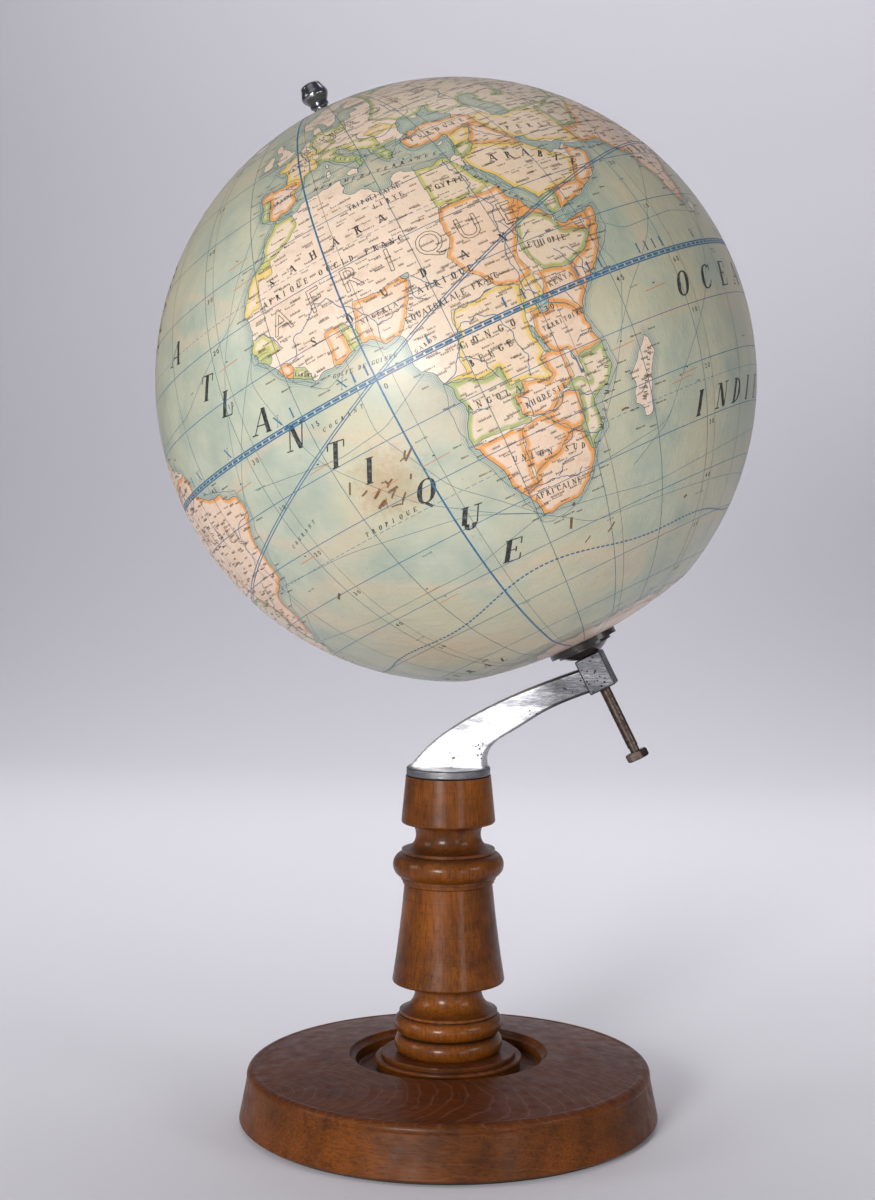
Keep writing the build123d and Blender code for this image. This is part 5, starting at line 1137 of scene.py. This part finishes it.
for word, tall, route in (
    ("SAHARA", 4.4, ((-9.2, 24.3), (3, 25.2), (15, 25.2))),
    ("SOUDAN", 4.4, ((-5, 10.6), (1.6, 10.9), (10.8, 12.5), (32.4, 12.2))),
    ("AFRIQUE OCCID FRANC", 3.0, ((-11.9, 21.2), (2, 21.2), (16.4, 20.0))),
    ("AFRIQUE", 3.2, ((15.4, 9.9), (24.7, 9.6))), ("EQUATORIALE FRANC", 2.9, ((11.4, 6.2), (28.0, 6.6))),
    ("TRIPOLITAINE", 2.6, ((10.4, 30.1), (20.8, 30.0))), ("LIBYE", 2.6, ((15.0, 28.0), (20.5, 28.0))),
    ("EGYPTE", 3.0, ((25.9, 26.3), (32.0, 25.8))), ("ARABIE", 4.6, ((40.2, 27.5), (48, 26), (55.0, 21))),
    ("NIGERIA", 2.5, ((4.4, 9.6), (10.6, 9.6))), ("CONGO", 3.4, ((17.7, -1.6), (26.9, -1.8))),
    ("BELGE", 3.2, ((17.9, -4.9), (25.0, -4.6))), ("ETHIOPIE", 2.8, ((36.0, 9.2), (42.4, 8.2))),
    ("KENYA", 2.5, ((35.9, 1.6), (40, 1.9))), ("TERRITOIRE", 2.2, ((31.5, -4.8), (39, -4.6))),
    ("ANGOLA", 3.0, ((14.2, -11.4), (23.0, -12.0))), ("RHODESIE", 2.7, ((23.5, -15.2), (30.9, -14.8))),
    ("UNION SUD", 2.8, ((17.6, -22.6), (30.5, -25.6))), ("AFRICAINE", 2.8, ((18.6, -30.6), (27.7, -31.0))),
    ("MOZAMBIQUE", 2.2, ((35.0, -23.9), (38, -19), (40.4, -12.0))),
    ("MADAGASCAR", 2.2, ((45.5, -22.4), (49.4, -14.6))),
    ("LIBERIA", 1.7, ((-10.4, 7.2), (-7.2, 5.4))), ("CAMEROUN", 1.9, ((11.2, 5.0), (14.4, 11))),
    ("GABON", 1.9, ((10.4, 0.9), (14.2, 1.6))), ("INDE", 4.2, ((74, 21), (84, 21))),
    ("PERSE", 3.2, ((49, 33), (59, 31))),
    ("TURQUIE", 2.8, ((29, 39), (42, 39))), ("CHINE", 5.0, ((95, 34), (115, 31))),
    ("AUSTRALIE", 6.0, ((118, -25), (148, -25))),
    ("ETATS UNIS", 4.6, ((-116, 41), (-86, 41))), ("CANADA", 5.0, ((-120, 56), (-90, 55))),
    ("ARGENTINE", 3.0, ((-68.5, -26), (-67, -44))), ("MEXIQUE", 3.0, ((-108, 27), (-99, 19))),
    ("SIBERIE", 5.5, ((80, 63), (130, 63))), ("PEROU", 2.8, ((-76, -8), (-71, -15))),
    ("FRANCE", 2.2, ((-0.5, 46.5), (5.5, 46.8))),
    ("ESPAGNE", 2.4, ((-6.5, 40), (-0.8, 40.2))), ("ALLEMAGNE", 2.0, ((7.5, 52), (17, 52))),
    ("ITALIE", 1.8, ((10.5, 44), (16, 40.5))),
):
    print_word("black", word, route, tall)
for word, tall, route in (
    ("AFRIQUE", 12.5, ((-9.6, 17.0), (6.6, 17.6), (22.5, 16.8), (35.5, 16.2))),
    ("BRESIL", 9.5, ((-60, -7), (-50, -8), (-42, -11))), ("EUROPE", 7.5, ((5, 49), (24, 53), (44, 55))),
    ("ASIE", 10.5, ((68, 48), (90, 49), (108, 45))), ("AMERIQUE", 9.5, ((-122, 49), (-98, 50), (-78, 47))),
):
    print_word("black", word, route, tall, hollow=0.34)
for word, tall, route in (
    ("OCEAN", 12.5, ((62.9, -6.3), (96, -6.3))), ("INDIEN", 12.0, ((61.0, -27.2), (98, -27.5))),
    ("OCEAN", 8.5, ((-52, 44), (-56, 30))), ("OCEAN", 11.0, ((-170, 12), (-130, 8))),
    ("AUSTRAL", 5.0, ((-75, -60), (-20, -64))),
    ("PACIFIQUE", 11.0, ((-172, -14), (-140, -15), (-100, -20))),
    ("MER MEDITERRANEE", 2.0, ((5, 38.2), (16, 35.6), (31, 33.3))),
    ("GOLFE DE GUINEE", 1.9, ((-4, 3.6), (7, 1.9))), ("TROPIQUE", 2.2, ((-14, -22.6), (-3, -22.6))),
    ("COURANT", 1.8, ((-10, -3.4), (-2, -3.0))), ("COURANT", 1.8, ((-30, -18), (-22, -16))),
    ("MER ROUGE", 1.7, ((34.6, 25), (39.6, 17.4))),
):
    print_word("black", word, route, tall, slanted=True, stretch=1.2)
for letter, longitude, latitude in (
    ("A", -40.5, 24.2), ("T", -31.1, 14.1), ("L", -26.5, 9.4), ("A", -20.6, 3.4), ("N", -15.6, -2.0),
    ("T", -10.3, -8.0), ("I", -5.6, -13.2), ("Q", 0.6, -20.6), ("U", 5.2, -28.6), ("E", 9.6, -38.0),
):
    print_letter("black", letter, longitude, latitude, 12.0, turn_degrees=-10, slanted=True, stretch=1.2)
hours = ("XII", "XI", "X", "IX", "VIII", "VII", "VI", "V", "IIII", "III", "II", "I")
for step in range(24):
    longitude = zero_meridian - 15 * step
    numeral = hours[step % 12]
    left, right = longitude - 3.4 - 0.75 * len(numeral), longitude - 2.6 + 0.65 * len(numeral)
    print_word("blue", numeral, ((left, 1.9), (right, 1.9)), 5.0)
    degrees = str(15 * step if step <= 12 else 360 - 15 * step)
    right = longitude + 1.02 + 1.05 * (len(degrees) - 1)
    print_word("black", degrees, ((longitude + 1.0, -1.9), (right, -1.9)), 2.6)
for latitude in range(-80, 90, 10):
    if latitude:
        digits = str(abs(latitude))
        for longitude in (-30, 60, 150, -120):
            start = longitude + zero_meridian + 0.9 / math.cos(math.radians(latitude))
            end = start + 0.95 / math.cos(math.radians(latitude))
            print_word("black", digits, ((start, latitude - 1.2), (end, latitude - 1.2)), 2.4)

ink_colours = {"blue": "#1d5f85", "grey": "#4c6c74", "black": "#1b1c20", "orange": "#c9743a",
               "brown": "#5f4c3c", "scuff": "#6d4a26"}
for ink, (vertices, quads) in strokes.items():
    # Printing ink: thin, matt and slightly uneven, so the paper shows through its edges.
    printing_ink, tree, shader = new_material("printing_ink_" + ink)
    uneven = add(tree, "TexNoise", {"Vector": millimetres(tree), "Scale": 0.8, "Detail": 3.0})
    pale = add(tree, "Mix", {0: 0.30, 6: ink_colours[ink], 7: "#b4baa4"}, data_type="RGBA").outputs[2]
    give(tree, shader, {
        "Base Color": add(tree, "Mix", {0: add(tree, "MapRange", [uneven, 0.45, 0.75, 0.0, 0.7]),
            6: ink_colours[ink], 7: pale}, data_type="RGBA"),
        "Roughness": 0.5, "Coat Weight": 0.25, "Coat Roughness": 0.3})
    units = np.array(vertices)
    outward = []
    for face in quads:
        corner, second, third = (units[index] for index in face[:3])
        faces_out = np.cross(second - corner, third - corner) @ corner > 0
        outward.append(face if faces_out else face[::-1])
    mesh = bpy.data.meshes.new("print_" + ink)
    mesh.from_pydata(on_globe(units, ink_inset).tolist(), [], outward)
    mesh.materials.append(printing_ink)
    layer = bpy.data.objects.new("print_" + ink, mesh)
    bpy.context.collection.objects.link(layer)
    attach(layer, "globe")


def growth_tree(name, *inputs):
    """An empty geometry tree whose inputs each have a name, a kind and a value, and its input node."""
    tree = bpy.data.node_groups.new(name, "GeometryNodeTree")
    for label, kind, value in inputs:
        socket = tree.interface.new_socket(label, in_out="INPUT", socket_type="NodeSocket" + kind)
        if value is not None:
            socket.default_value = value
    tree.interface.new_socket("Geometry", in_out="OUTPUT", socket_type="NodeSocketGeometry")
    return tree, add(tree, "NodeGroupInput")


def send_out(tree, instances, ink):
    """Makes instances real, inks them and ends the tree with them."""
    real = add(tree, "GeometryNodeRealizeInstances", {"Geometry": instances})
    inked = add(tree, "GeometryNodeSetMaterial", {"Geometry": real, "Material": ink})
    add(tree, "NodeGroupOutput", {"Geometry": inked})


# Dashes between the two lines of the equator: one flat dash set out round a circle.
dash_tree, given = growth_tree(
    "equator_dashes", ("Radius", "Float", 0.165), ("Count", "Int", 200), ("Dash Length", "Float", 0.0041),
    ("Dash Width", "Float", 0.0012), ("Ink", "Material", None))
ring = add(dash_tree, "GeometryNodeCurvePrimitiveCircle",
    {"Resolution": 720, "Radius": given.outputs["Radius"]})
stations = add(dash_tree, "GeometryNodeCurveToPoints",
    {"Curve": ring.outputs["Curve"], "Count": given.outputs["Count"]}, mode="COUNT")
dash = add(dash_tree, "GeometryNodeMeshGrid", {"Size X": given.outputs["Dash Width"],
    "Size Y": given.outputs["Dash Length"], "Vertices X": 2, "Vertices Y": 3})
turned = add(dash_tree, "FunctionNodeAlignEulerToVector", {"Vector": stations.outputs["Tangent"]}, axis="Y")
upright = add(dash_tree, "FunctionNodeAlignEulerToVector",
    {"Rotation": turned.outputs[0], "Vector": (0.0, 0.0, 1.0)}, axis="X", pivot_axis="Y")
placed = add(dash_tree, "GeometryNodeInstanceOnPoints",
    {"Points": stations.outputs["Points"], "Instance": dash.outputs["Mesh"],
        "Rotation": upright.outputs[0]})
send_out(dash_tree, placed.outputs["Instances"], given.outputs["Ink"])


def grown(tree, name, host, **values):
    """Runs a geometry tree on a host mesh and returns the result as a plain object."""
    source = bpy.data.objects.new(name + "_source", host)
    bpy.context.collection.objects.link(source)
    modifier = source.modifiers.new("growth", "NODES")
    modifier.node_group = tree
    for item in tree.interface.items_tree:
        if item.item_type == "SOCKET" and item.in_out == "INPUT" and item.name in values:
            modifier[item.identifier] = values[item.name]
    result = bpy.data.meshes.new_from_object(source.evaluated_get(bpy.context.evaluated_depsgraph_get()))
    result.name = name
    source.modifiers.clear()
    bpy.data.objects.remove(source)
    grown_piece = bpy.data.objects.new(name, result)
    bpy.context.collection.objects.link(grown_piece)
    return grown_piece


dashes = grown(dash_tree, "equator_dashes", bpy.data.meshes.new("empty_host"),
               **{"Radius": (globe_radius - ink_inset) / 1000,
                   "Ink": bpy.data.materials["printing_ink_blue"]})
stand_on_axis = Matrix.Translation(globe_centre / 1000) @ Matrix.Rotation(-axis_tilt, 4, "Y")
dashes.data.transform(stand_on_axis)
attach(dashes, "globe")

# Small place names: rows of short strokes, too small to read, scattered over the land and
# set level with the parallels.
name_tree, given = growth_tree(
    "small_place_names", ("Paper", "Geometry", None), ("Density", "Float", 24000.0), ("Apart", "Float",
        0.0042),
    ("Low", "Float", 1.2), ("High", "Float", 900.0), ("Seed", "Int", 7), ("North", "Vector", (0, 0, 1)),
    ("Lift", "Float", 0.000045), ("Word", "Object", None), ("Ink", "Material", None))
coast_here = add(name_tree, "GeometryNodeInputNamedAttribute", {"Name": "coast"}, data_type="FLOAT")
above = add(name_tree, "FunctionNodeCompare", {0: coast_here.outputs["Attribute"], 1: given.outputs["Low"]},
    data_type="FLOAT", operation="GREATER_THAN")
below = add(name_tree, "FunctionNodeCompare", {0: coast_here.outputs["Attribute"],
    1: given.outputs["High"]}, data_type="FLOAT", operation="LESS_THAN")
chosen = add(name_tree, "FunctionNodeBooleanMath", {0: above, 1: below}, operation="AND")
scatter = add(name_tree, "GeometryNodeDistributePointsOnFaces",
    {"Mesh": given.outputs["Paper"], "Selection": chosen, "Distance Min": given.outputs["Apart"],
    "Density Max": given.outputs["Density"], "Seed": given.outputs["Seed"]}, distribute_method="POISSON")
flat = add(name_tree, "FunctionNodeAlignEulerToVector", {"Vector": scatter.outputs["Normal"]}, axis="Z")
level = add(name_tree, "FunctionNodeAlignEulerToVector",
    {"Rotation": flat.outputs[0], "Vector": given.outputs["North"]}, axis="Y", pivot_axis="Z")
raised = add(name_tree, "GeometryNodeSetPosition", {"Geometry": scatter.outputs["Points"],
    "Offset": add(name_tree, "VectorMath", {0: scatter.outputs["Normal"], "Scale": given.outputs["Lift"]},
    operation="SCALE")})
word_form = add(name_tree, "GeometryNodeObjectInfo", {"Object": given.outputs["Word"]})
length = add(name_tree, "FunctionNodeRandomValue", {2: 0.55, 3: 1.45, "Seed": given.outputs["Seed"]},
    data_type="FLOAT")
size = add(name_tree, "CombineXYZ", {"X": length.outputs[1], "Y": 1.0, "Z": 1.0})
words_set = add(name_tree, "GeometryNodeInstanceOnPoints",
    {"Points": raised.outputs["Geometry"], "Instance": word_form.outputs["Geometry"],
    "Rotation": level.outputs[0], "Scale": size})
send_out(name_tree, words_set.outputs["Instances"], given.outputs["Ink"])

sheet_rows = [paper for paper in bpy.data.objects if paper.name.startswith("printed_gore")]
whole_sheet = bmesh.new()
for paper in sheet_rows:
    whole_sheet.from_mesh(paper.data)
sheet_mesh = bpy.data.meshes.new("all_gores")
whole_sheet.to_mesh(sheet_mesh)
whole_sheet.free()
for setting, (low, high, apart, tall, ink) in enumerate((
        (1.2, 900.0, 0.0058, 1.35, "black"), (1.2, 900.0, 0.0058, 1.0, "black"), (0.8, 900.0, 0.0064, 1.6,
            "brown"),
        (-7.5, -1.0, 0.0056, 1.1, "black"), (-60.0, -7.5, 0.060, 1.0, "grey"))):
    word_points, word_faces = [], []
    pen = -2.3
    while pen < 2.3:
        height = luck.choice([0.60, 0.60, 0.60, 0.95]) * (1.35 if pen == -2.3 else 1.0) * tall
        marks = [(pen, -0.3, 0.20, height)]
        if luck.random() < 0.8:
            marks.append((pen + 0.30, -0.3, 0.16, 0.60 * tall))
        if luck.random() < 0.35:
            level = luck.choice([-0.3, 0.16, 0.0])
            marks.append((pen, level, 0.43, 0.12))
        for x, y, wide, high_mark in marks:
            base = len(word_points)
            word_points += [(x, y, 0), (x + wide, y, 0), (x + wide, y + high_mark, 0),
                (x, y + high_mark, 0)]
            word_faces.append((base, base + 1, base + 2, base + 3))
        pen += luck.choice([0.60, 0.66, 0.72])
    word_mesh = bpy.data.meshes.new("place_name_mark")
    word_mesh.from_pydata([tuple(c / 1000 for c in point) for point in word_points], [], word_faces)
    word_object = bpy.data.objects.new("place_name_mark", word_mesh)
    names = grown(name_tree, f"small_place_names_{setting + 1}", sheet_mesh,
                  **{"Low": low, "High": high, "Apart": apart, "Seed": 7 + setting, "North": tuple(north),
                     "Word": word_object, "Ink": bpy.data.materials["printing_ink_" + ink]})
    bpy.data.objects.remove(word_object)
    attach(names, "globe")

# ---- floor, light and camera ---------------------------------------------------------
# A pale seamless sweep, two large soft boxes in front and a glow on the backdrop.
sweep_width, sweep_front, sweep_back, sweep_bend, sweep_top = 8.0, -4.0, 1.3, 0.9, 4.0
profile = [(sweep_front, 0.0)]
for step in range(25):
    angle = math.radians(90 * step / 24)
    profile.append((sweep_back + sweep_bend * math.sin(angle), sweep_bend * (1 - math.cos(angle))))
profile.append((sweep_back + sweep_bend, sweep_top))
corners = [(x, y, z) for x in (-sweep_width / 2, sweep_width / 2) for y, z in profile]
count = len(profile)
sheets = [(i, count + i, count + i + 1, i + 1) for i in range(count - 1)]
sweep_mesh = bpy.data.meshes.new("floor_sweep")
sweep_mesh.from_pydata(corners, [], sheets)
sweep_mesh.shade_smooth()
sweep = bpy.data.objects.new("floor_sweep", sweep_mesh)
bpy.context.collection.objects.link(sweep)
background_paper, tree, shader = new_material("background_paper_matte")
give(tree, shader, {"Base Color": "#d6d4db", "Roughness": 0.85})
sweep_mesh.materials.append(background_paper)


def soft_box(name, place, target, width, height, power, colour, spread=180.0):
    """A rectangular area light that faces a point."""
    light = bpy.data.lights.new(name, "AREA")
    light.shape = "RECTANGLE"
    light.size = width
    light.size_y = height
    light.energy = power
    light.spread = math.radians(spread)
    light.color = linear(colour)[:3]
    lamp = bpy.data.objects.new(name, light)
    lamp.location = place
    lamp.rotation_euler = (Vector(target) - Vector(place)).to_track_quat("-Z", "Y").to_euler()
    bpy.context.collection.objects.link(lamp)


soft_box("soft_box_key", (-0.38, -1.95, 0.60), (0.0, 0.0, 0.36), 0.5, 0.5, 32, "#ffffff")
soft_box("soft_box_right", (1.35, -1.5, 0.35), (0.0, 0.0, 0.25), 0.4, 0.8, 4, "#ffffff")
soft_box("overhead", (-0.6, -1.0, 1.9), (-0.1, -0.1, 0.0), 1.2, 1.2, 2, "#f7f8ff")
soft_box("floor_wash", (0.0, 0.8, 1.7), (0.0, 0.8, 0.0), 2.6, 0.8, 8, "#ffffff", 75.0)
soft_box("backdrop_wash", (0.0, 1.1, 2.1), (0.0, 2.2, 0.9), 2.4, 0.4, 9, "#ffffff", 110.0)
soft_box("floor_left", (-1.3, -0.5, 0.7), (-0.4, -0.1, 0.0), 0.5, 0.5, 0.9, "#ffffff", 80.0)
soft_box("floor_right", (1.4, -0.5, 0.7), (0.5, -0.1, 0.0), 0.5, 0.5, 1.1, "#ffffff", 80.0)
world = bpy.data.worlds.new("studio_air")
world.use_nodes = True
world.node_tree.nodes["Background"].inputs["Color"].default_value = linear("#e6e6ef")
world.node_tree.nodes["Background"].inputs["Strength"].default_value = 0.15
bpy.context.scene.world = world

camera_data = bpy.data.cameras.new("camera")
camera_data.sensor_fit = "VERTICAL"
camera_data.sensor_height = 36.0
camera_data.sensor_width = 36.0
camera_data.lens = 62.76
camera_data.clip_end = 50.0
camera = bpy.data.objects.new("camera", camera_data)
camera.location = (0.2226, -1.1431, 0.3687)
camera.rotation_euler = (math.radians(86.31), 0.0, math.radians(11.32))
bpy.context.collection.objects.link(camera)
bpy.context.scene.camera = camera

bpy.context.scene.view_settings.view_transform = "Standard"
